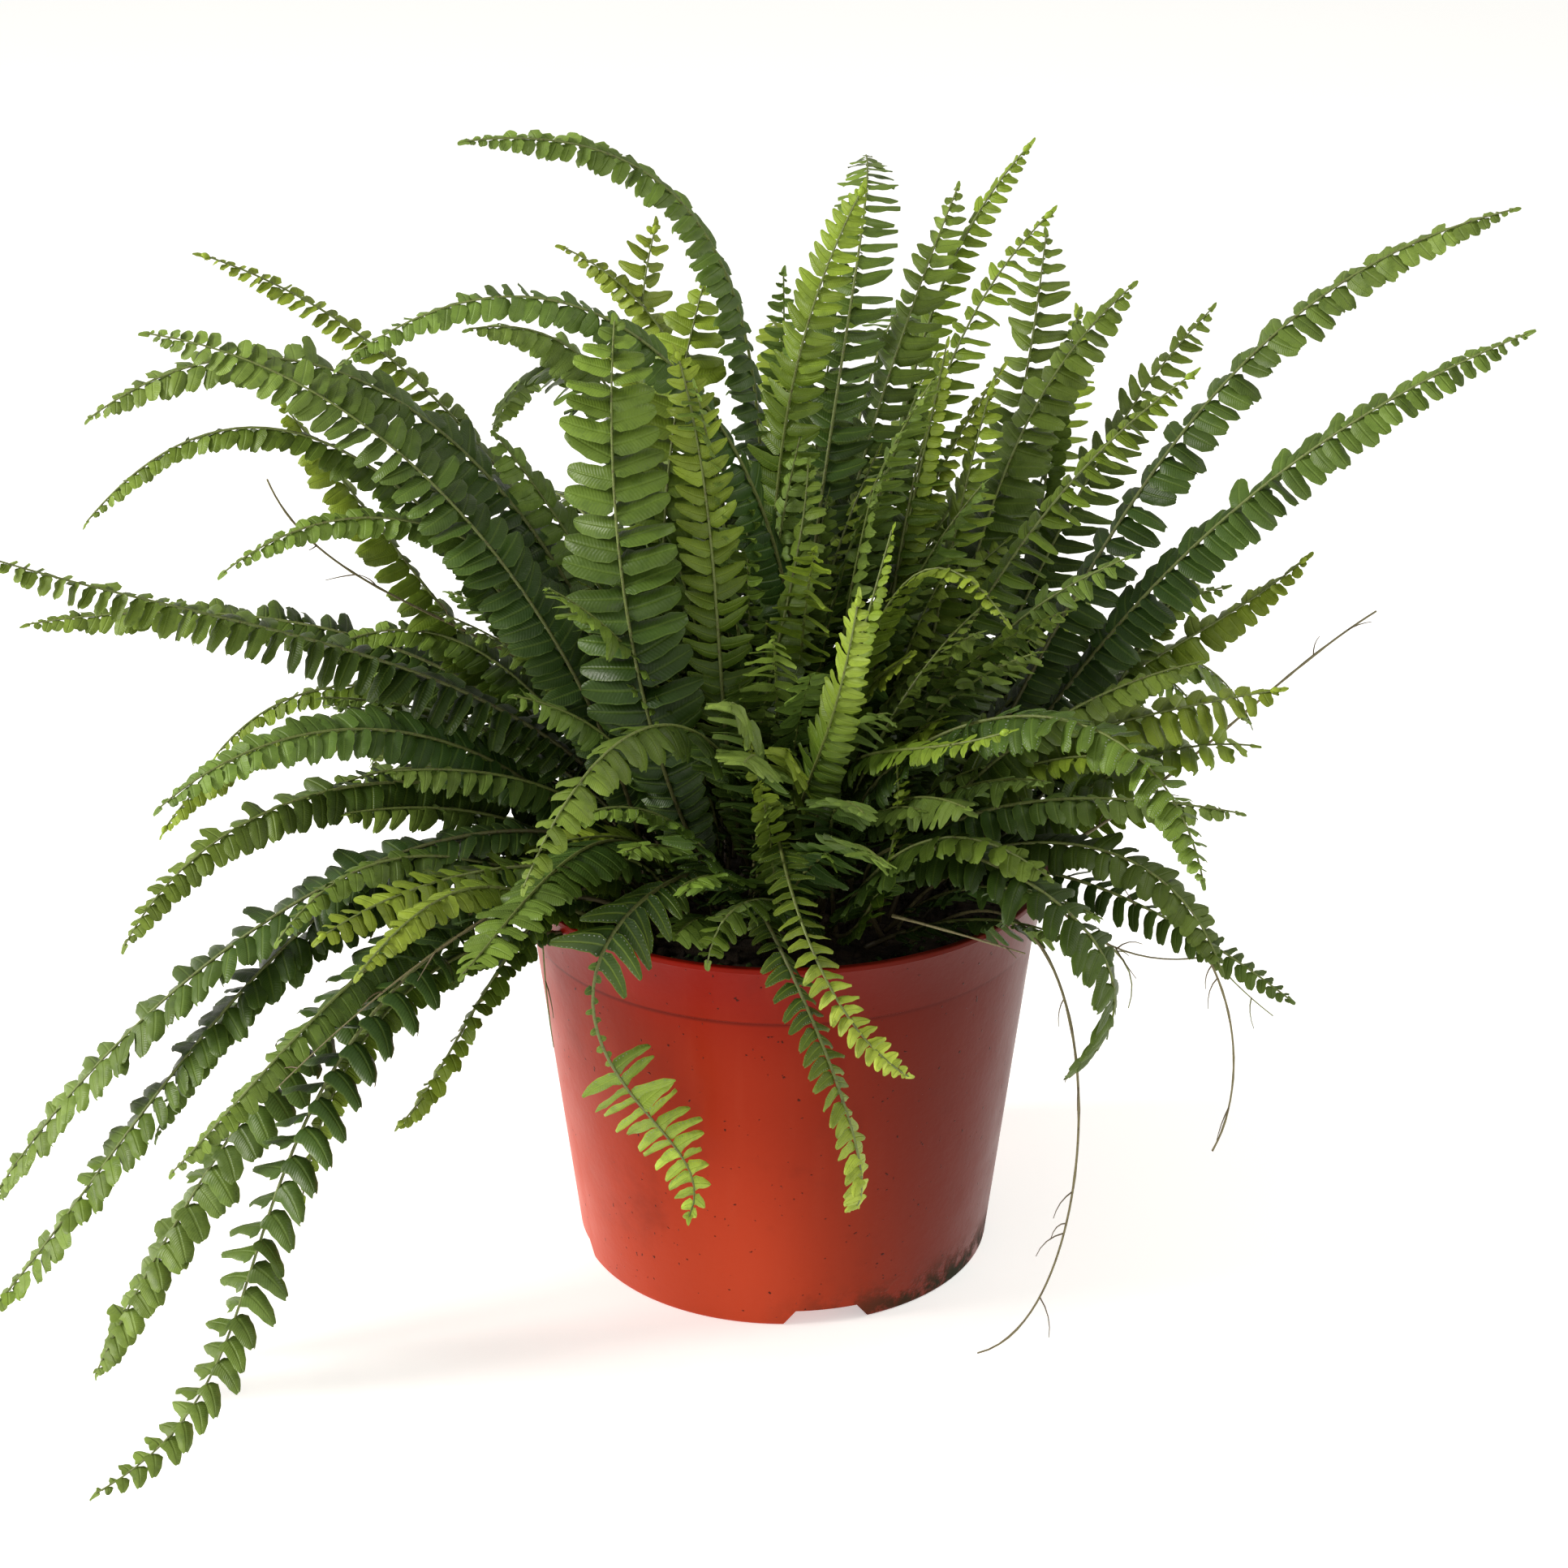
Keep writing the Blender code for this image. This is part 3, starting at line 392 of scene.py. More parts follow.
class Spine:
    """A rib's centre line, with the blade's sideways and upward directions along it."""

    def __init__(self, points, roll=0.0, heading=None):
        self.points, self.length = smooth_path(points)
        self.tangents = np.gradient(self.points, axis=0)
        self.tangents /= np.linalg.norm(self.tangents, axis=1)[:, None]
        if heading is None:
            heading = self.points[-1] - self.points[0]
        across = unit(np.array([-heading[1], heading[0], 0.0]))
        along = self.tangents @ across
        sideways = across - along[:, None] * self.tangents
        sideways /= np.linalg.norm(sideways, axis=1)[:, None]
        upward = np.cross(self.tangents, sideways)
        turn = math.radians(roll)
        self.sideways = sideways * math.cos(turn) + upward * math.sin(turn)
        self.upward = np.cross(self.tangents, self.sideways)

    def at(self, distance):
        """The centre, tangent, sideways and upward directions at one or more distances along the rib."""
        place = np.clip(np.asarray(distance) / self.length, 0.0, 1.0) * (len(self.points) - 1)
        low = np.minimum(place.astype(int), len(self.points) - 2)
        share = (place - low)[..., None]
        return [row[low] * (1 - share) + row[low + 1] * share
                for row in (self.points, self.tangents, self.sideways, self.upward)]


def blade_reach(share, widths):
    """How far leaflets reach from the rib at a share of the blade's length."""
    width = widths[0] + (widths[1] - widths[0]) * share
    return 0.5 * width * np.minimum(1.0, 0.3 + 2.2 * share) * (1.0 - share**5) ** 0.8


def soil_height(x, y):
    return SOIL_EDGE_HEIGHT + SOIL_DOME * (1.0 - (x * x + y * y) / SEAM_RADIUS**2)


def root_field():
    """Places where a stalk can come up, spread evenly over the soil like seeds in a sunflower."""
    radii = [ROOT_FIELD_RADIUS * math.sqrt((i + 0.5) / ROOT_FIELD_COUNT) for i in range(ROOT_FIELD_COUNT)]
    angles = [i * GOLDEN_ANGLE for i in range(ROOT_FIELD_COUNT)]
    return [(r * math.cos(angle), r * math.sin(angle)) for r, angle in zip(radii, angles)]


def near_roots(free, first):
    """The free places nearest to where a stem towards the first point would rise, the nearest first."""
    wanted = np.array(first[:2], float) * ROOT_LEAN
    return sorted(free, key=lambda place: math.dist(place, wanted))[:MOST_ROOTS]


def surface_point(spine, distance, side, reach):
    """A point of the blade's middle surface, reach away from the rib and hanging a little."""
    centre, _, sideways, upward = spine.at(distance)
    droop = math.radians(LEAFLET_DROOP)
    return centre + reach * (side * math.cos(droop) * sideways - math.sin(droop) * upward)


def slab(spine, widths):
    """Points and triangles of a thick ribbon that encloses a frond."""
    stations = max(int(spine.length / SLAB_STEP), 4)
    start = STALK_SHARE * spine.length
    distance = np.linspace(0.0, spine.length, stations + 1)
    reach = np.full(stations + 1, STALK_HALF_WIDTH)
    in_blade = distance > start - SLAB_STEP
    shares = np.clip((distance - start) / (spine.length - start), 0.0, 1.0)
    reach[in_blade] = np.maximum(reach, blade_reach(shares, widths))[in_blade]
    reach += SLAB_MARGIN
    ahead = distance + LEAFLET_SLANT * reach
    left, right = (surface_point(spine, ahead, side, reach[:, None]) for side in (1, -1))
    rib, _, _, upward = spine.at(distance)
    lift = upward * SLAB_HALF_THICKNESS
    rows = [left + lift, rib + lift, right + lift, right - lift, rib - lift, left - lift]
    points = np.stack(rows, axis=1).reshape(-1, 3).tolist()
    faces = []
    for i in range(stations):
        for k in range(6):
            a, b = 6 * i + k, 6 * i + (k + 1) % 6
            faces += [(a, b, b + 6), (a, b + 6, a + 6)]
    return points, faces


def pot_guard():
    """A skin round the pot's wall and over the soil that no blade may cross."""
    out = POT_CLEARANCE
    profile = [(0.0, SOIL_EDGE_HEIGHT + SOIL_DOME + 1.0), (RIM_RADIUS - 7.0, SOIL_EDGE_HEIGHT + 1.0),
               (RIM_RADIUS - LIP_WIDTH - out, POT_HEIGHT + out), (RIM_RADIUS + out, POT_HEIGHT + out),
               (SEAM_RADIUS + BAND_STEP + out, SEAM_HEIGHT), (BASE_RADIUS + out, 0.0)]
    points, faces = [], []
    for i in range(POT_SIDES):
        angle = 2 * math.pi * i / POT_SIDES
        points += [(r * math.cos(angle), r * math.sin(angle), z) for r, z in profile]
    count = len(profile)
    for i in range(POT_SIDES):
        for k in range(count - 1):
            a, b = count * i + k, count * ((i + 1) % POT_SIDES) + k
            faces += [(a, b, b + 1), (a, b + 1, a + 1)]
    return points, faces


class Settled:
    """The ribbons placed so far, as one search tree."""

    def __init__(self):
        self.points, self.faces = pot_guard()
        self.tree = BVHTree.FromPolygons(self.points, self.faces)

    def free(self, points, faces):
        if min(point[2] for point in points) < FLOOR_CLEARANCE:
            return False
        return not self.tree.overlap(BVHTree.FromPolygons(points, faces))

    def add(self, points, faces):
        base = len(self.points)
        self.points += [tuple(point) for point in points]
        self.faces += [tuple(base + corner for corner in face) for face in faces]
        self.tree = BVHTree.FromPolygons(self.points, self.faces)


def bend_clear(settled, free, points, roll, widths):
    """The spine through the points, moved along the lines of sight as little as clears what is settled."""
    draw = np.random.default_rng([SEED, len(free)])
    points = np.array(points, float)
    sight = points - VIEWPOINT
    sight /= np.linalg.norm(sight, axis=1)[:, None]
    heading = points[-1] - points[0]
    weights = np.linspace(0, 1, len(points))[:, None]
    places = near_roots(free, points[0])
    for attempt in range(MOST_TRIES):
        freedom = attempt / MOST_TRIES
        middle, tip, turn = freedom * draw.uniform(-1, 1, 3)
        side, lift = freedom**2 * draw.uniform(-1, 1, 2)
        place = places[draw.integers(0, 1 + int(freedom * (len(places) - 1)) + (attempt > 20))]
        depth = MIDDLE_NUDGE * middle * (1 - weights) + TIP_NUDGE * tip * weights
        moved = points + sight * depth + (SIDE_NUDGE * side, 0.0, LIFT_NUDGE * lift)
        root = np.array([*place, soil_height(*place) + 2.0])
        spine = Spine([root, *moved], roll + TURN_NUDGE * turn, heading)
        ribbon = slab(spine, widths)
        if settled.free(*ribbon):
            settled.add(*ribbon)
            free.remove(place)
            return spine
    raise ValueError(f"No clear way for a stem through {points.tolist()}")


def lay_out():
    """The spines of all fronds and runners, none of them crossing another."""
    free = root_field()
    settled = Settled()
    fronds = [bend_clear(settled, free, points, roll, widths) for _, widths, roll, *points in FRONDS]
    runners = [bend_clear(settled, free, points, 0.0, (0.0, 0.0)) for _, *points in RUNNERS]
    return fronds, runners


def inner_radius(height):
    """The radius of the pot's inside at a height below the rim."""
    outside = BASE_RADIUS + (SEAM_RADIUS - BASE_RADIUS) * height / SEAM_HEIGHT
    if height > SEAM_HEIGHT:
        share = (height - SEAM_HEIGHT) / (POT_HEIGHT - SEAM_HEIGHT)
        outside = SEAM_RADIUS + (RIM_RADIUS - SEAM_RADIUS) * share
    return outside - WALL


class Piece:
    """Collects the points, faces, leaf coordinates and tints of one piece, in millimetres."""

    def __init__(self):
        self.points = []
        self.faces = []
        self.coordinates = []
        self.tints = []
        self.slots = []
        self.count = 0

    def add(self, points, faces, coordinates=None, tint=(0.5, 0.0, 0.0, 0.5), slot=0):
        """Adds points (n, 3) and faces, with a leaf coordinate and a tint for each point or for all."""
        total = len(points)
        self.points.append(np.asarray(points, float))
        self.faces += [[self.count + corner for corner in face] for face in faces]
        self.slots += [slot] * len(faces)
        self.coordinates.append(np.zeros((total, 2)) if coordinates is None else coordinates)
        self.tints.append(np.broadcast_to(np.asarray(tint, float), (total, 4)))
        self.count += total

    def object(self, name, materials):
        data = bpy.data.meshes.new(name)
        data.from_pydata((np.concatenate(self.points) * MM).tolist(), [], self.faces)
        corners = np.empty(len(data.loops), np.int32)
        data.loops.foreach_get("vertex_index", corners)
        layer = data.uv_layers.new(name="leaf")
        layer.data.foreach_set("uv", np.concatenate(self.coordinates)[corners].ravel())
        tint = data.color_attributes.new("tint", "FLOAT_COLOR", "POINT")
        tint.data.foreach_set("color", np.concatenate(self.tints).ravel())
        data.polygons.foreach_set("material_index", self.slots)
        data.shade_smooth()
        data.set_sharp_from_angle(angle=SHARP_EDGE)
        for material in materials:
            data.materials.append(material)
        obj = bpy.data.objects.new(name, data)
        obj.location = POT_PLACE
        bpy.context.scene.collection.objects.link(obj)
        return obj


def unit_rows(vectors):
    return vectors / np.linalg.norm(vectors, axis=1)[:, None]


class LeafletShape:
    """The grid of a leaflet: steps along it, places across it, and faces for its top and its underside."""

    def __init__(self, rows, columns, taper, curve, fill):
        self.curve = curve
        self.fill = fill
        self.along = 0.5 - 0.5 * np.cos(np.pi * np.linspace(0, 1, rows))
        self.across = np.linspace(-1, 1, columns)
        swell = 0.55 + 0.45 * np.sin(np.pi / 2 * np.minimum(self.along / 0.2, 1))
        blunt = np.sqrt(1 - np.clip((self.along - 0.55) / 0.47, 0, 1) ** 2.4)
        teeth = 1 + TOOTH * (-1.0) ** np.arange(rows)
        margin = swell * blunt * teeth * (1 - taper * self.along)
        lobe = AURICLE * np.exp(-(((self.along - 0.07) / 0.09) ** 2))
        ahead_margin = margin + lobe
        half = np.where(self.across > 0, ahead_margin[:, None], margin[:, None])
        self.aside = half * self.across
        self.lens = (1 - self.across**2) * np.minimum(1, 0.15 + 5 * self.along * (1 - self.along))[:, None]
        top = np.arange(rows * columns).reshape(rows, columns)
        inside = np.zeros((rows, columns), bool)
        inside[1:-1, 1:-1] = True
        under = top.copy()
        under[inside] = rows * columns + np.arange(inside.sum())
        self.inside = inside
        self.size = rows * columns + int(inside.sum())
        self.top_faces = self.quads(top)
        self.under_faces = self.quads(under)[:, ::-1]
        u, v = np.broadcast_arrays(self.along[:, None], 0.5 + 0.5 * self.across)
        grid = np.stack([u, v], axis=-1)
        self.coordinates = np.concatenate([grid.reshape(-1, 2), grid[inside]])

    @staticmethod
    def quads(index):
        """Faces between the neighbouring points of a grid."""
        corners = [index[:-1, :-1], index[1:, :-1], index[1:, 1:], index[:-1, 1:]]
        return np.stack(corners, axis=-1).reshape(-1, 4)


def shape_pair(outline):
    """The shapes of long and of short leaflets with one outline."""
    return LeafletShape(*LONG_GRID, *outline), LeafletShape(*SHORT_GRID, *outline)


BLUNT, SICKLE, NARROW = (shape_pair(outline) for outline in (BLUNT_OUTLINE, SICKLE_OUTLINE, NARROW_OUTLINE))
COARSE = (LeafletShape(*COARSE_GRID, *SICKLE_OUTLINE),) * 2


def add_leaflets(piece, shape, side, base, axis, ahead, length, breadth, curl, cup, tint, draw):
    """Leaflets from their bases along their axes, on one side of a rib: 1 is its left and -1 its right."""
    count = len(base)
    normal = unit_rows(side * np.cross(ahead, axis))
    reach = length[:, None, None]
    half = breadth[:, None, None] / 2
    along = shape.along[None, :, None]
    across = shape.across[None, None, :]
    phase = draw.uniform(0, 2 * np.pi, (count, 1, 1))
    wave = 0.10 * half * np.sin(phase + 9.0 * along) * np.abs(across) * across
    ridge = -0.16 * half * np.exp(-((across / 0.28) ** 2))
    height = (-curl[:, None, None] * reach * along**2 - cup[:, None, None] * half * np.abs(across) ** 1.7
              + ridge + wave)
    aside = half * shape.aside[None] + shape.curve * reach * along**2
    spot = (base[:, None, None] + axis[:, None, None] * (reach * along + 0 * across)[..., None]
            + ahead[:, None, None] * aside[..., None] + normal[:, None, None] * height[..., None])
    lift = normal[:, None, None] * (0.5 * LEAFLET_THICKNESS * shape.lens)[None, ..., None]
    top = (spot + lift).reshape(count, -1, 3)
    under = (spot - lift)[:, shape.inside]
    points = np.concatenate([top, under], axis=1).reshape(-1, 3)
    faces = np.concatenate([shape.top_faces, shape.under_faces])
    if side > 0:
        faces = faces[:, ::-1]
    faces = (faces[None] + shape.size * np.arange(count)[:, None, None]).reshape(-1, 4)
    tints = np.repeat(tint[:, None], shape.size, axis=1)
    tints[:, len(shape.along) * len(shape.across):, 2] = 1.0
    piece.add(points, faces.tolist(), np.tile(shape.coordinates, (count, 1)), tints.reshape(-1, 4))


def add_tube(piece, spine, stops, radii, slot, tint, buried=0.0):
    """A round tapered stem through the stops along a spine, closed at both ends."""
    centres, tangents, sideways, upward = spine.at(np.asarray(stops))
    if buried:
        centres[0] -= tangents[0] * buried
    turns = 2 * np.pi * np.arange(TUBE_SIDES) / TUBE_SIDES
    cosines, sines = np.cos(turns)[None, :, None], np.sin(turns)[None, :, None]
    outward = cosines * sideways[:, None] + sines * upward[:, None]
    rings = centres[:, None] + np.asarray(radii)[:, None, None] * outward
    faces = []
    for i in range(len(stops) - 1):
        for k in range(TUBE_SIDES):
            j = (k + 1) % TUBE_SIDES
            low, high = TUBE_SIDES * i, TUBE_SIDES * (i + 1)
            faces.append([low + k, low + j, high + j, high + k])
    faces.append(list(range(TUBE_SIDES))[::-1])
    last = TUBE_SIDES * (len(stops) - 1)
    faces.append([last + k for k in range(TUBE_SIDES)])
    piece.add(rings.reshape(-1, 3), faces, None, tint, slot)


def leaflet_reach(share, widths):
    """How far leaflets reach from the rib: a little further near the tip than the plain blade does."""
    return blade_reach(share, widths) * (1.0 + TIP_FULLNESS * share**8)


def leaflet_places(blade, widths, late, loose):
    """Distances along the blade at which leaflets grow: they stand closer where it is narrow."""
    places = [1.0]
    while places[-1] < blade - 2.0:
        width = 2.0 * leaflet_reach(places[-1] / blade, widths)
        places.append(places[-1] + loose * (PITCH_BASE + PITCH_PER_WIDTH * width))
    places = np.array(places[:-1])
    pitch = np.gradient(places)
    return places + late * pitch, pitch


def add_frond(piece, spine, widths, shapes, draw, frond_tint, loose=1.0, bare=(1.0, 1.0)):
    """A frond: its rib, leaflets on both sides in turn, stunted where it is bare, and an end leaflet."""
    start = STALK_SHARE * spine.length
    blade = spine.length - start
    sag = draw.normal(0, FROND_DROOPS)
    twist = draw.normal(0, FROND_TWISTS)
    curled = draw.uniform(*FROND_CURLS)
    for side in (1, -1):
        places, pitch = leaflet_places(blade, widths, 0.0 if side > 0 else 0.5, loose)
        shares = np.minimum(places / blade, 0.99)
        stunted = (shares > bare[0]) & (shares < bare[1])
        centres, tangents, sideways, upward = spine.at(start + places)
        count = len(places)
        reach = leaflet_reach(shares, widths) * (1 - draw.uniform(0, LENGTH_VARIATION, count))
        reach[stunted] *= STUNTED_SHARE
        droop = np.radians(LEAFLET_DROOP + sag + draw.normal(0, DROOPS, count))[:, None]
        slant = (LEAFLET_SLANT + draw.normal(0, SLANTS, count))[:, None]
        axis = unit_rows(side * np.cos(droop) * sideways - np.sin(droop) * upward + slant * tangents)
        skyward = np.array([0.0, 0.0, 1.0]) - axis[:, 2:] * axis
        normal = unit_rows(upward - np.sum(upward * axis, axis=1)[:, None] * axis + SKYWARD * skyward)
        ahead = side * np.cross(axis, normal)
        turn = np.radians(side * twist + draw.normal(0, TURNS, count))[:, None]
        ahead = ahead * np.cos(turn) + np.cross(axis, ahead) * np.sin(turn)
        breadth = np.minimum(shapes[0].fill * pitch, 0.8 * reach + 1.2) * draw.uniform(*BREADTHS, count)
        tones = draw.uniform(0, 1, count)
        tints = np.stack([tones, shares, np.zeros(count), np.full(count, frond_tint)], axis=1)
        base = centres + side * sideways * RIB_RADIUS * 0.3
        curl, cup = curled * draw.uniform(0.0, 2.0, count), draw.uniform(*CUPS, count)
        for shape, chosen in zip(shapes, (reach > SHORT_REACH, reach <= SHORT_REACH)):
            values = (row[chosen] for row in (base, axis, ahead, reach, breadth, curl, cup, tints))
            if chosen.any():
                add_leaflets(piece, shape, side, *values, draw)
    end, tangent, sideways, upward = (row[None] for row in spine.at(spine.length - 1.0))
    tint = np.array([[0.5, 1.0, 0.0, frond_tint]])
    size = np.array([END_LEAFLET_LENGTH]), np.array([END_LEAFLET_BREADTH])
    bend = np.array([0.1]), np.array([0.2])
    add_leaflets(piece, shapes[1], -1, end, tangent, sideways, *size, *bend, tint, draw)
    stops = np.concatenate([[0.0], np.linspace(0.0, spine.length, max(int(spine.length / 5), 8))])
    radii = np.interp(stops / spine.length, [0, STALK_SHARE, 1], [STALK_RADIUS, RIB_RADIUS, RIB_TIP_RADIUS])
    tints = np.repeat([[0.5, 0.0, 0.0, frond_tint]], len(stops) * TUBE_SIDES, axis=0)
    tints[:, 1] = np.repeat(stops / spine.length, TUBE_SIDES)
    add_tube(piece, spine, stops, radii, 1, tints, buried=HOLE_DEPTH - 1.0)


def add_knob(piece, spine, frond_tint):
    """The still rolled-up tip of a young frond."""
    stops = spine.length + np.linspace(-KNOB_LENGTH, 0.0, 6)
    radii = KNOB_RADIUS * np.sin(np.pi * np.linspace(0.12, 0.88, 6))
    add_tube(piece, spine, stops, radii, 0, (0.9, 1.0, 0.0, frond_tint))


# Materials


class Value:
    """A value in a material's node tree, with which plain arithmetic makes new values."""

    def __init__(self, nodes, socket):
        self.nodes = nodes
        self.socket = socket

    def __add__(self, other):
        return self.nodes.math("ADD", self, other)

    def __sub__(self, other):
        return self.nodes.math("SUBTRACT", self, other)

    def __rsub__(self, other):
        return self.nodes.math("SUBTRACT", other, self)

    def __mul__(self, other):
        return self.nodes.math("MULTIPLY", self, other)

    def __pow__(self, other):
        return self.nodes.math("POWER", self, other)

    def __abs__(self):
        return self.nodes.math("ABSOLUTE", self)


class Nodes:
    """Builds a material's node tree out of small expressions."""

    def __init__(self, name):
        self.material = bpy.data.materials.new(name)
        self.material.use_nodes = True
        self.tree = self.material.node_tree
        self.shader = self.tree.nodes["Principled BSDF"]

    def node(self, kind, **settings):
        made = self.tree.nodes.new(kind)
        for key, value in settings.items():
            setattr(made, key, value)
        return made

    def feed(self, socket, value):
        if isinstance(value, Value):
            self.tree.links.new(value.socket, socket)
        elif isinstance(value, tuple) and len(value) == 3 and len(socket.default_value) == 4:
            socket.default_value = (*value, 1.0)
        else:
            socket.default_value = value

    def math(self, operation, a, b=0.0):
        made = self.node("ShaderNodeMath", operation=operation)
        self.feed(made.inputs[0], a)
        self.feed(made.inputs[1], b)
        return Value(self, made.outputs[0])

    def distance(self, a, b):
        """How far the point (a, b) lies from the origin."""
        return self.math("SQRT", a**2.0 + b**2.0)

    def step(self, value, low, high):
        """0 below low and 1 above high, smooth between them."""
        made = self.node("ShaderNodeMapRange", interpolation_type="SMOOTHSTEP")
        for name, setting in (("Value", value), ("From Min", low), ("From Max", high)):
            self.feed(made.inputs[name], setting)
        return Value(self, made.outputs[0])

    def mix(self, share, a, b):
        made = self.node("ShaderNodeMix", data_type="RGBA")
        for number, value in ((0, share), (6, a), (7, b)):
            self.feed(made.inputs[number], value)
        return Value(self, made.outputs[2])

    def noise(self, scale, detail=3.0, vector=None, roughness=0.55):
        made = self.node("ShaderNodeTexNoise")
        made.inputs["Scale"].default_value = scale
        made.inputs["Detail"].default_value = detail
        made.inputs["Roughness"].default_value = roughness
        self.tree.links.new(vector or self.place(), made.inputs["Vector"])
        return Value(self, made.outputs["Fac"])

    def place(self):
        return self.node("ShaderNodeTexCoord").outputs["Object"]

    def split(self, socket):
        made = self.node("ShaderNodeSeparateXYZ")
        self.tree.links.new(socket, made.inputs[0])
        return [Value(self, output) for output in made.outputs]

    def tint(self):
        """A leaflet's tone, its share of the frond, 1 on its underside, and the frond's tone."""
        attribute = self.node("ShaderNodeAttribute", attribute_name="tint")
        made = self.node("ShaderNodeSeparateColor")
        self.tree.links.new(attribute.outputs["Color"], made.inputs[0])
        return [Value(self, output) for output in (*made.outputs, attribute.outputs["Alpha"])]

    def bump(self, height, distance):
        made = self.node("ShaderNodeBump")
        made.inputs["Strength"].default_value = 1.0
        made.inputs["Distance"].default_value = distance
        self.feed(made.inputs["Height"], height)
        self.tree.links.new(made.outputs[0], self.shader.inputs["Normal"])

    def set(self, **values):
        for name, value in values.items():
            self.feed(self.shader.inputs[name.replace("_", " ")], value)


def leaf_material(name, deep, fresh, tip, dotted):
    """Leaf green from deep at the frond's base to its tip colour, with veins and pale edges that are a
    painted rim highlight.
    """
    n = Nodes(name)
    tone, age, under, frond = n.tint()
    u, v, _ = n.split(n.node("ShaderNodeUVMap", uv_map="leaf").outputs[0])
    across = abs(v - 0.5) * 2.0
    colour = n.mix(n.step(age, 0.0, 0.55), deep, fresh)
    colour = n.mix(n.step(age, 0.35, 1.05) + u * 0.12, colour, tip)
    colour = n.mix(n.step(n.noise(240.0), 0.42, 0.75) * 0.35, colour, fresh)
    vein = 1.0 - n.step(across, 0.03, 0.16)
    colour = n.mix(vein * 0.22, colour, tip)
    # Painted highlight: the leaflet's edges lightened as a thin rim highlight
    edge = n.step(across, 0.84, 1.0)
    colour = n.mix(edge * 0.25, colour, tip)
    colour = n.mix(under * 0.35, colour, fresh)
    shift = n.node("ShaderNodeHueSaturation")
    n.feed(shift.inputs["Hue"], frond * 0.016 + 0.492)
    n.feed(shift.inputs["Value"], tone * 0.44 + 0.78)
    n.feed(shift.inputs["Color"], colour)
    colour = Value(n, shift.outputs[0])
    ribs = n.math("SINE", (u - across * 0.12) * 95.0)
    height = ribs * 0.10 - vein * 0.8 + n.noise(420.0, 2.0) * 0.9
    if dotted:
        along = n.math("FRACT", u * 11.0) - 0.5
        dot = 1.0 - n.step(n.distance(along, (across - 0.76) * 3.2), 0.12, 0.24)
        dot = dot * (1.0 - under) * n.step(n.noise(300.0), 0.4, 0.55)
        colour = n.mix(dot * 0.85, colour, LIME)
        height = height + dot * 0.8
    n.set(Base_Color=colour, Roughness=n.noise(160.0) * 0.24 + 0.30, Specular_IOR_Level=0.22)
    n.bump(height, 0.0002)
    return n.material


def stem_material(name, base, tip):
    """Brown to green stems, scurfy and a little ridged."""
    n = Nodes(name)
    _, age, _, _ = n.tint()
    colour = n.mix(n.step(age, 0.0, 0.7), base, tip)
    speck = n.step(n.noise(900.0, 2.0), 0.5, 0.68)
    colour = n.mix(speck * 0.6, colour, SCURF)
    n.set(Base_Color=colour, Roughness=0.55)
    n.bump(n.noise(700.0), 0.0003)
    return n.material


def pot_material():
    """Glossy red plastic with dull scuffs, dark specks, a pinkish bloom and green algae round the foot."""
    n = Nodes("red_plastic")
    place = n.place()
    x, y, z = n.split(place)
    height = z + n.noise(9.0, 4.0) * 0.03
    # Painted shade: the pot darkens from the foot up towards the rim, where the leaves shade it
    colour = n.mix(n.step(height, 0.010, 0.115), POT_LOW, POT_MIDDLE_SHADED)
    colour = n.mix(n.step(height, 0.110, 0.160), colour, POT_HIGH_SHADED)
    smear = n.node("ShaderNodeMapping")
    smear.inputs["Scale"].default_value = (1.0, 1.0, 0.12)
    n.tree.links.new(place, smear.inputs[0])
    streak = n.noise(70.0, 4.0, smear.outputs[0])
    colour = n.mix(n.step(streak, 0.5, 0.8) * 0.18, colour, POT_BLOOM)
    right = n.step(x - y * 0.35, 0.010, 0.080)
    colour = n.mix(right * 0.85, colour, POT_SHADE)
    grime = n.step(n.noise(26.0, 5.0, None, 0.65), 0.55, 0.8)
    colour = n.mix(grime * 0.34, colour, POT_GRIME)
    speck = n.step(n.noise(520.0, 1.0), 0.735, 0.78)
    colour = n.mix(speck * 0.8, colour, POT_SPECK)
    foot = 1.0 - n.step(z, 0.003, 0.018)
    algae = foot * right * n.step(n.noise(90.0, 6.0, None, 0.7), 0.42, 0.6)
    colour = n.mix(algae, colour, POT_ALGAE)
    # Painted shade under the band's step at the seam
    seam_shade = n.step(z, 0.1240, 0.1253) * (1.0 - n.step(z, 0.1258, 0.1268))
    colour = n.mix(seam_shade * 0.55, colour, POT_SEAM_SHADE)
    # The inner wall above the soil darkened: painted shade, with soil dirt
    inside_shade_and_dirt = (1.0 - n.step(n.distance(x, y), 0.0890, 0.0920)) * n.step(z, 0.125, 0.131)
    colour = n.mix(inside_shade_and_dirt * 0.5, colour, POT_INSIDE_SHADE_AND_DIRT)
    n.set(Base_Color=colour, Roughness=n.noise(60.0, 4.0) * 0.22 + 0.24 + algae * 0.4)
    n.set(Specular_IOR_Level=0.5, IOR=1.25, Specular_Tint=POT_GLEAM)
    relief = n.noise(35.0, 2.0) * 0.5 + n.noise(400.0, 2.0) * 0.12 + (algae + speck) * 0.5
    n.bump(relief, 0.0006)
    return n.material


def rough_material(name, dark, light, scale):
    """Matt mottled earth or moss."""
    n = Nodes(name)
    colour = n.mix(n.step(n.noise(scale, 6.0, None, 0.65), 0.35, 0.7), dark, light)
    n.set(Base_Color=colour, Roughness=0.9, Specular_IOR_Level=0.3)
    n.bump(n.noise(scale * 2.5, 5.0), 0.0012)
    return n.material


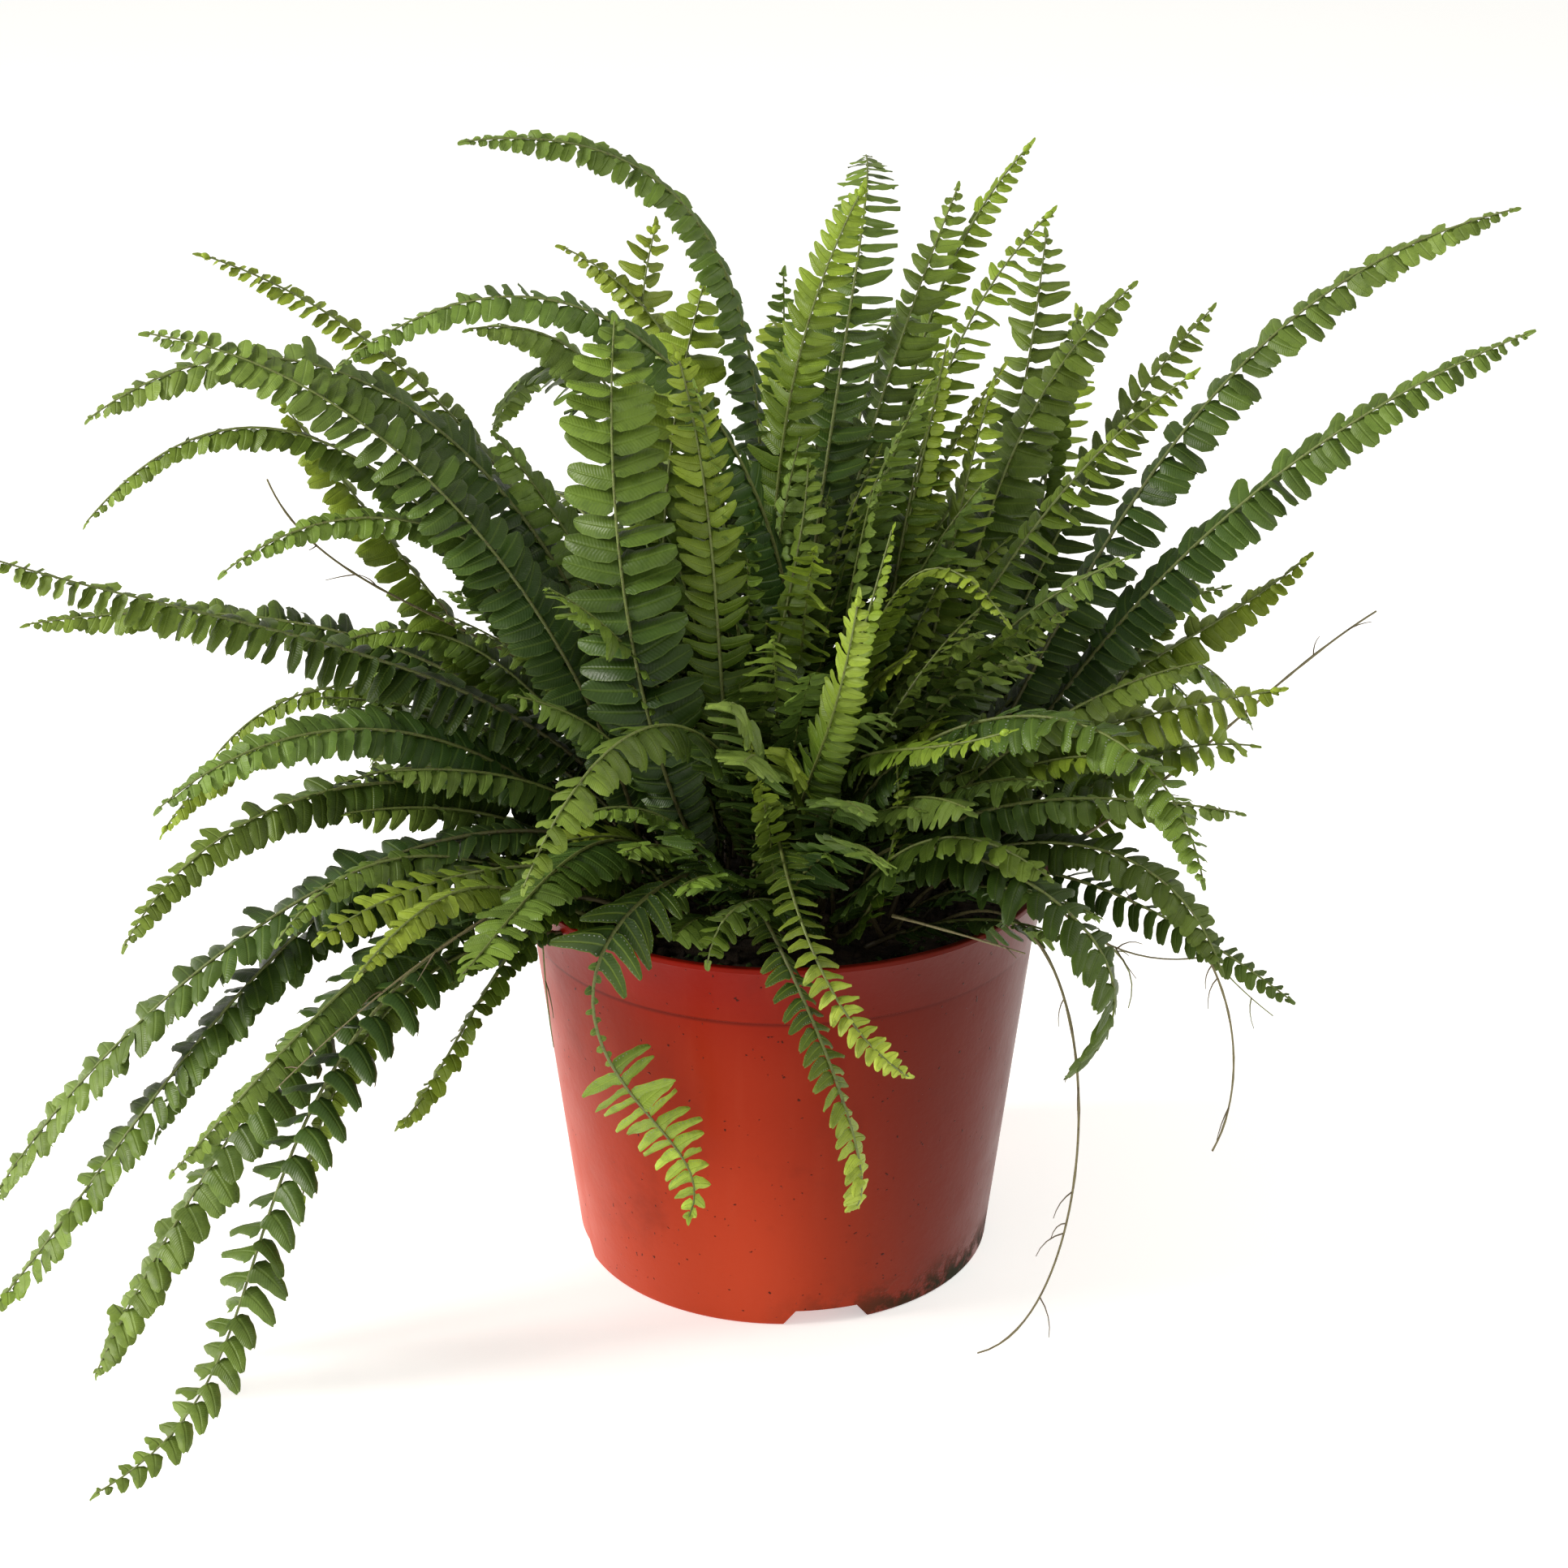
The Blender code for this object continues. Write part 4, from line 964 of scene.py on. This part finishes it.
def floor_material():
    """A white light table: it glows a little, so that it stays pale far from the lamps."""
    n = Nodes("studio_floor")
    n.set(Base_Color=n.mix(n.noise(3.0, 2.0), (0.88, 0.88, 0.88), (0.90, 0.90, 0.90)), Roughness=0.7)
    n.set(Emission_Color=(1.0, 1.0, 1.0), Emission_Strength=FLOOR_GLOW)
    return n.material


# Pot


def turned(name, profile, sides):
    """A closed solid turned round the z axis from a profile that starts and ends on the axis."""
    work = bmesh.new()
    rows = []
    for radius, height in profile:
        if radius == 0.0:
            rows.append([work.verts.new((0.0, 0.0, MM * height))])
            continue
        angles = [2 * math.pi * k / sides for k in range(sides)]
        rows.append([work.verts.new((MM * radius * math.cos(a), MM * radius * math.sin(a), MM * height))
                     for a in angles])
    for low, high in zip(rows, rows[1:]):
        for k in range(sides):
            corners = [low[k % len(low)], low[(k + 1) % len(low)]]
            corners += [high[(k + 1) % len(high)], high[k % len(high)]]
            work.faces.new(list(dict.fromkeys(corners)))
    return made_object(name, work)


def prism(name, outline, low, high, azimuth):
    """A cutter: an outline in the y and z directions, run from low to high along the azimuth."""
    work = bmesh.new()
    ends = [[work.verts.new((MM * x, MM * y, MM * z)) for y, z in outline] for x in (low, high)]
    work.faces.new(ends[0])
    work.faces.new(ends[1][::-1])
    for k in range(len(outline)):
        j = (k + 1) % len(outline)
        work.faces.new((ends[0][k], ends[1][k], ends[1][j], ends[0][j]))
    obj = made_object(name, work)
    obj.rotation_euler[2] = math.radians(azimuth)
    return obj


def made_object(name, work):
    bmesh.ops.recalc_face_normals(work, faces=work.faces)
    data = bpy.data.meshes.new(name)
    work.to_mesh(data)
    work.free()
    obj = bpy.data.objects.new(name, data)
    bpy.context.scene.collection.objects.link(obj)
    return obj


def cut(target, cutters):
    """Cuts all the cutters from the target, then removes them."""
    group = bpy.data.collections.new(target.name + "_cutters")
    bpy.context.scene.collection.children.link(group)
    for cutter in cutters:
        bpy.context.scene.collection.objects.unlink(cutter)
        group.objects.link(cutter)
    modifier = target.modifiers.new("cut", "BOOLEAN")
    modifier.operation = "DIFFERENCE"
    modifier.operand_type = "COLLECTION"
    modifier.collection = group
    graph = bpy.context.evaluated_depsgraph_get()
    data = bpy.data.meshes.new_from_object(target.evaluated_get(graph))
    target.modifiers.clear()
    target.data = data
    for cutter in cutters:
        bpy.data.objects.remove(cutter)
    bpy.data.collections.remove(group)


def rounded(profile, corner, radius):
    """The profile with one corner rounded off."""
    before, at, after = (np.array(profile[corner + k]) for k in (-1, 0, 1))
    first = at + unit(before - at) * radius
    last = at + unit(after - at) * radius
    curve = []
    for k in range(CORNER_STEPS + 1):
        t = k / CORNER_STEPS
        curve.append(tuple((1 - t) ** 2 * first + 2 * t * (1 - t) * at + t * t * last))
    return profile[:corner] + curve + profile[corner + 1:]


def make_pot():
    """The pot, turned from its profile, with notches cut from the foot ring and holes from the floor."""
    floor = PANEL_HEIGHT + PANEL_THICKNESS
    foot_inside = BASE_RADIUS - FOOT_WIDTH
    profile = [
        (0.0, PANEL_HEIGHT),
        (foot_inside, PANEL_HEIGHT),
        (foot_inside, 0.0),
        (BASE_RADIUS, 0.0),
        (SEAM_RADIUS, SEAM_HEIGHT),
        (SEAM_RADIUS + BAND_STEP, SEAM_HEIGHT + 0.4),
        (RIM_RADIUS - 0.3, POT_HEIGHT - 2.2),
        (RIM_RADIUS, POT_HEIGHT - 1.8),
        (RIM_RADIUS, POT_HEIGHT),
        (RIM_RADIUS - LIP_WIDTH, POT_HEIGHT),
        (inner_radius(SEAM_HEIGHT), SEAM_HEIGHT),
        (inner_radius(floor), floor),
        (0.0, floor),
    ]
    for corner, radius in CORNERS:
        profile = rounded(profile, corner, radius)
    pot = turned("pot_dressed", profile, FINE_SIDES)
    half_low, half_high = NOTCH_BOTTOM_WIDTH / 2, NOTCH_TOP_WIDTH / 2
    outline = [(-half_low * 1.05, -1.0), (half_low * 1.05, -1.0)]
    outline += [(half_high, NOTCH_HEIGHT), (-half_high, NOTCH_HEIGHT)]
    azimuths = [NOTCH_AZIMUTH + 360 * k / NOTCH_COUNT for k in range(NOTCH_COUNT)]
    cutters = [prism("notch", outline, BASE_RADIUS - 15, BASE_RADIUS + 10, azimuth) for azimuth in azimuths]
    drain_profile = [(0.0, 0.0), (DRAIN_RADIUS, 0.0), (DRAIN_RADIUS, CUTTER_LENGTH), (0.0, CUTTER_LENGTH)]
    for k in range(DRAIN_COUNT):
        angle = 2 * math.pi * (k + 0.5) / DRAIN_COUNT
        drain = turned("drain", drain_profile, DRAIN_SIDES)
        drain.location = (MM * DRAIN_CIRCLE * math.cos(angle), MM * DRAIN_CIRCLE * math.sin(angle), 0.0)
        cutters.append(drain)
    cut(pot, cutters)
    pot.data.shade_smooth()
    pot.data.set_sharp_from_angle(angle=POT_SHARP_EDGE)
    pot.data.materials.append(pot_material())
    pot.location = POT_PLACE
    settle(pot, "pot", "pot")


def settle(piece, slot, *nodes):
    """Rides a piece on the plant's one body and hides the nodes that it stands for; its slot is not used.
    """
    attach(piece, "root")
    if nodes:
        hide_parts(*nodes)


# Soil


def soil_surface(x, y):
    """The height of the peat, with clods and hollows."""
    spot = Vector((x, y, 0.0))
    clods = 1.6 * noise.noise(spot * 0.09) + 1.1 * noise.noise(spot * 0.25) + 0.6 * noise.noise(spot * 0.6)
    return soil_height(x, y) + clods


def make_soil(peat, moss):
    """The body of peat, with clods on top, that fills the pot."""
    edge = inner_radius(SOIL_EDGE_HEIGHT) - 0.2
    bottom = PANEL_HEIGHT + PANEL_THICKNESS + GAP
    points = [(0.0, 0.0, soil_surface(0.0, 0.0))]
    for i in range(1, SOIL_RINGS + 1):
        radius = edge * i / SOIL_RINGS
        for k in range(SOIL_SPOKES):
            angle = 2 * math.pi * k / SOIL_SPOKES
            x, y = radius * math.cos(angle), radius * math.sin(angle)
            points.append((x, y, soil_surface(x, y)))
    foot = len(points)
    for k in range(SOIL_SPOKES):
        angle = 2 * math.pi * k / SOIL_SPOKES
        radius = inner_radius(bottom) - GAP
        points.append((radius * math.cos(angle), radius * math.sin(angle), bottom))
    faces = [[0, 1 + k, 1 + (k + 1) % SOIL_SPOKES] for k in range(SOIL_SPOKES)]
    for i in range(SOIL_RINGS):
        low, high = 1 + i * SOIL_SPOKES, 1 + (i + 1) * SOIL_SPOKES
        for k in range(SOIL_SPOKES):
            j = (k + 1) % SOIL_SPOKES
            faces.append([low + k, high + k, high + j, low + j])
    faces.append([foot + k for k in range(SOIL_SPOKES)][::-1])
    piece = Piece()
    piece.add(points, faces)
    add_crumbs(piece)
    settle(piece.object("soil_dressed", [peat, moss]), "soil", "soil")


def add_crumbs(piece):
    """Lumps of peat and, towards the rim, cushions of moss, lying on the soil."""
    draw = np.random.default_rng(SEED + 1)
    work = bmesh.new()
    bmesh.ops.create_icosphere(work, subdivisions=1, radius=1.0)
    ball = np.array([vertex.co[:] for vertex in work.verts])
    faces = [[vertex.index for vertex in face.verts] for face in work.faces]
    work.free()
    limit = inner_radius(SOIL_EDGE_HEIGHT) - 3.0
    for _ in range(CRUMB_COUNT):
        mossy = draw.random() < MOSS_SHARE
        radius = limit * math.sqrt(draw.uniform(0.55 if mossy else 0.0, 1.0))
        angle = draw.uniform(0, 2 * math.pi)
        x, y = radius * math.cos(angle), radius * math.sin(angle)
        size = draw.uniform(*(CUSHION_SIZES if mossy else CRUMB_SIZES))
        if not mossy:
            size *= draw.uniform(*CRUMB_WEAR)
        stretch = draw.uniform(*STRETCHES, 3) * (1.0, 1.0, 0.8)
        lump = ball * (1 + draw.uniform(-0.25, 0.25, (len(ball), 1))) * size * stretch
        piece.add(lump + (x, y, soil_surface(x, y) + 0.2 * size), faces, slot=int(mossy))


# Strands


def make_strand(name, spine, material, thickness, nodes, draw):
    """A thin wiry runner with small nodes and short side rootlets."""
    piece = Piece()
    stops = np.concatenate([[0.0], np.linspace(0.0, spine.length, max(int(spine.length / 4), 6))])
    radii = thickness * np.interp(stops / spine.length, [0, 0.1, 1], [0.5, 0.36, 0.2])
    radii = radii * (1 + 0.25 * (draw.random(len(stops)) > 0.8))
    add_tube(piece, spine, stops, radii, 0, (0.5, 0.5, 0.0, 0.5), buried=HOLE_DEPTH - 1.0 if nodes else 0.0)
    for place in draw.uniform(0.3, 0.95, max(int(spine.length / 30), 1)) * spine.length:
        centre, tangent, sideways, upward = spine.at(place)
        turn = draw.uniform(0, 2 * np.pi)
        out = math.cos(turn) * sideways + math.sin(turn) * upward
        length = draw.uniform(*ROOTLET_LENGTHS)
        middle = centre + length * (0.5 * out + 0.4 * tangent)
        end = centre + length * (0.8 * out + 0.9 * tangent) - np.array([0, 0, 0.2 * length])
        root = Spine([centre, middle, end])
        root_stops = np.linspace(0, root.length, 5)
        add_tube(piece, root, root_stops, np.linspace(*ROOTLET_RADII, 5), 0, (0.5, 0.2, 0.0, 0.5))
    settle(piece.object(name, [material]), "runner", *nodes)


# Fronds that only the scene has


def inner_fronds():
    """Spines and widths of the small fronds in the middle: they rise near the soil and lean outward."""
    draw = np.random.default_rng(SEED + 2)
    made = []
    for count, field, lengths, leans in (LOW_SET, TALL_SET):
        for i in range(count):
            share = (i + 0.5) / count
            radius = field * math.sqrt(share)
            angle = i * GOLDEN_ANGLE + 0.6
            outward = np.array([math.cos(angle), math.sin(angle), 0.0])
            aside = np.array([-outward[1], outward[0], 0.0])
            root = outward * radius
            root[2] = soil_height(root[0], root[1])
            length = draw.uniform(*lengths) * (1.15 - 0.45 * share)
            lean = math.radians(leans[0] + (leans[1] - leans[0]) * share + draw.normal(0, 6))
            sway = draw.normal(0, 0.18)
            rise = length * math.cos(lean)
            run = length * math.sin(lean)
            middle = root + outward * run * 0.35 + aside * sway * run + np.array([0, 0, rise * 0.62])
            tip = root + outward * run * 1.05 + aside * sway * run * 2 + np.array([0, 0, rise * 0.92])
            made.append((Spine([root, middle, tip], draw.uniform(-35, 35)), draw.uniform(20, 32, 2)))
    return made


def make_plant():
    """All long fronds, short fronds, runners, threads and inner fronds."""
    leaves = {name: leaf_material("leaf_" + name, *row) for name, row in LEAF_COLOURS.items()}
    rib = stem_material("rib_green", *RIB_COLOURS)
    brown = stem_material("runner_wiry", *RUNNER_COLOURS)
    fronds, runners = lay_out()
    for number, (spine, (age, widths, *_)) in enumerate(zip(fronds, FRONDS), 1):
        draw = np.random.default_rng([SEED, number])
        piece = Piece()
        shapes = SICKLE if number in SICKLE_FRONDS else NARROW if number in NARROW_FRONDS else BLUNT
        tint = draw.random()
        bare = BARE_STRETCHES.get(number, (1.0, 1.0))
        add_frond(piece, spine, widths, shapes, draw, tint, SPACINGS.get(number, 1.0), bare)
        if age == YOUNG:
            add_knob(piece, spine, tint)
        leaf = leaves[FINISHES.get(number, age)]
        obj = piece.object(f"frond_{number:02d}_dressed", [leaf, rib])
        settle(obj, "frond_" + age, f"frond_{number:02d}")
    for number, (age, widths, roll, *points) in enumerate(SHORT_FRONDS, 1):
        draw = np.random.default_rng([SEED, SHORT_SEED + number])
        root = [ROOT_LEAN * points[0][0], ROOT_LEAN * points[0][1]]
        root.append(soil_height(*root))
        piece = Piece()
        add_frond(piece, Spine([root, *points], roll), widths, BLUNT, draw, draw.random())
        leaf = leaves[SHORT_FINISHES.get(number, age)]
        settle(piece.object(f"short_frond_{number:02d}", [leaf, rib]), "frond_" + age)
    draw = np.random.default_rng(SEED + 3)
    for number, (spine, (thickness, *_)) in enumerate(zip(runners, RUNNERS), 1):
        node = f"runner_{number}"
        make_strand(node + "_dressed", spine, brown, thickness, [node], draw)
    pale = stem_material("thread_pale", *THREAD_COLOURS)
    for number, (thickness, *points) in enumerate(THREADS, 1):
        stuff = brown if number % 2 == 0 else pale
        make_strand(f"thread_{number}", Spine(points), stuff, thickness, [], draw)
    for number, (spine, widths) in enumerate(inner_fronds(), 1):
        draw = np.random.default_rng([SEED, INNER_SEED + number])
        age = INNER_AGES[number % len(INNER_AGES)]
        piece = Piece()
        add_frond(piece, spine, widths, COARSE, draw, draw.random())
        settle(piece.object(f"inner_frond_{number:02d}", [leaves[age], rib]), "frond_" + age)


# Studio


def add_light(name, place, target, size, power):
    """A rectangular lamp that looks at its target."""
    data = bpy.data.lights.new(name, "AREA")
    data.shape = "RECTANGLE"
    data.color = LAMP_COLOUR
    data.size, data.size_y = size
    data.energy = power
    obj = bpy.data.objects.new(name, data)
    obj.location = place
    obj.rotation_euler = (Vector(target) - Vector(place)).to_track_quat("-Z", "Y").to_euler()
    bpy.context.scene.collection.objects.link(obj)


def make_studio():
    """A pale floor, an even bright surround and the lamps."""
    work = bmesh.new()
    bmesh.ops.create_grid(work, x_segments=1, y_segments=1, size=FLOOR_SIZE)
    floor = made_object("floor", work)
    floor.data.materials.append(floor_material())
    world = bpy.data.worlds.new("studio")
    world.use_nodes = True
    background = world.node_tree.nodes["Background"]
    background.inputs["Color"].default_value = SURROUND_COLOUR
    background.inputs["Strength"].default_value = SURROUND_STRENGTH
    bpy.context.scene.world = world
    for lamp in LAMPS:
        add_light(*lamp)


def make_camera():
    """The photograph's view of the plant."""
    data = bpy.data.cameras.new("camera")
    data.sensor_width = SENSOR_WIDTH
    data.lens = LENS
    camera = bpy.data.objects.new("camera", data)
    camera.location = Vector(POT_PLACE) + MM * Vector(VIEWPOINT)
    camera.rotation_euler = (math.radians(90 - CAMERA_TILT), 0.0, 0.0)
    bpy.context.scene.collection.objects.link(camera)
    bpy.context.scene.camera = camera


def main():
    make_pot()
    peat = rough_material("peat", *PEAT_COLOURS, 160.0)
    moss = rough_material("moss", *MOSS_COLOURS, 300.0)
    make_soil(peat, moss)
    make_plant()
    make_studio()
    make_camera()
    bpy.context.scene.view_settings.view_transform = "Standard"


main()
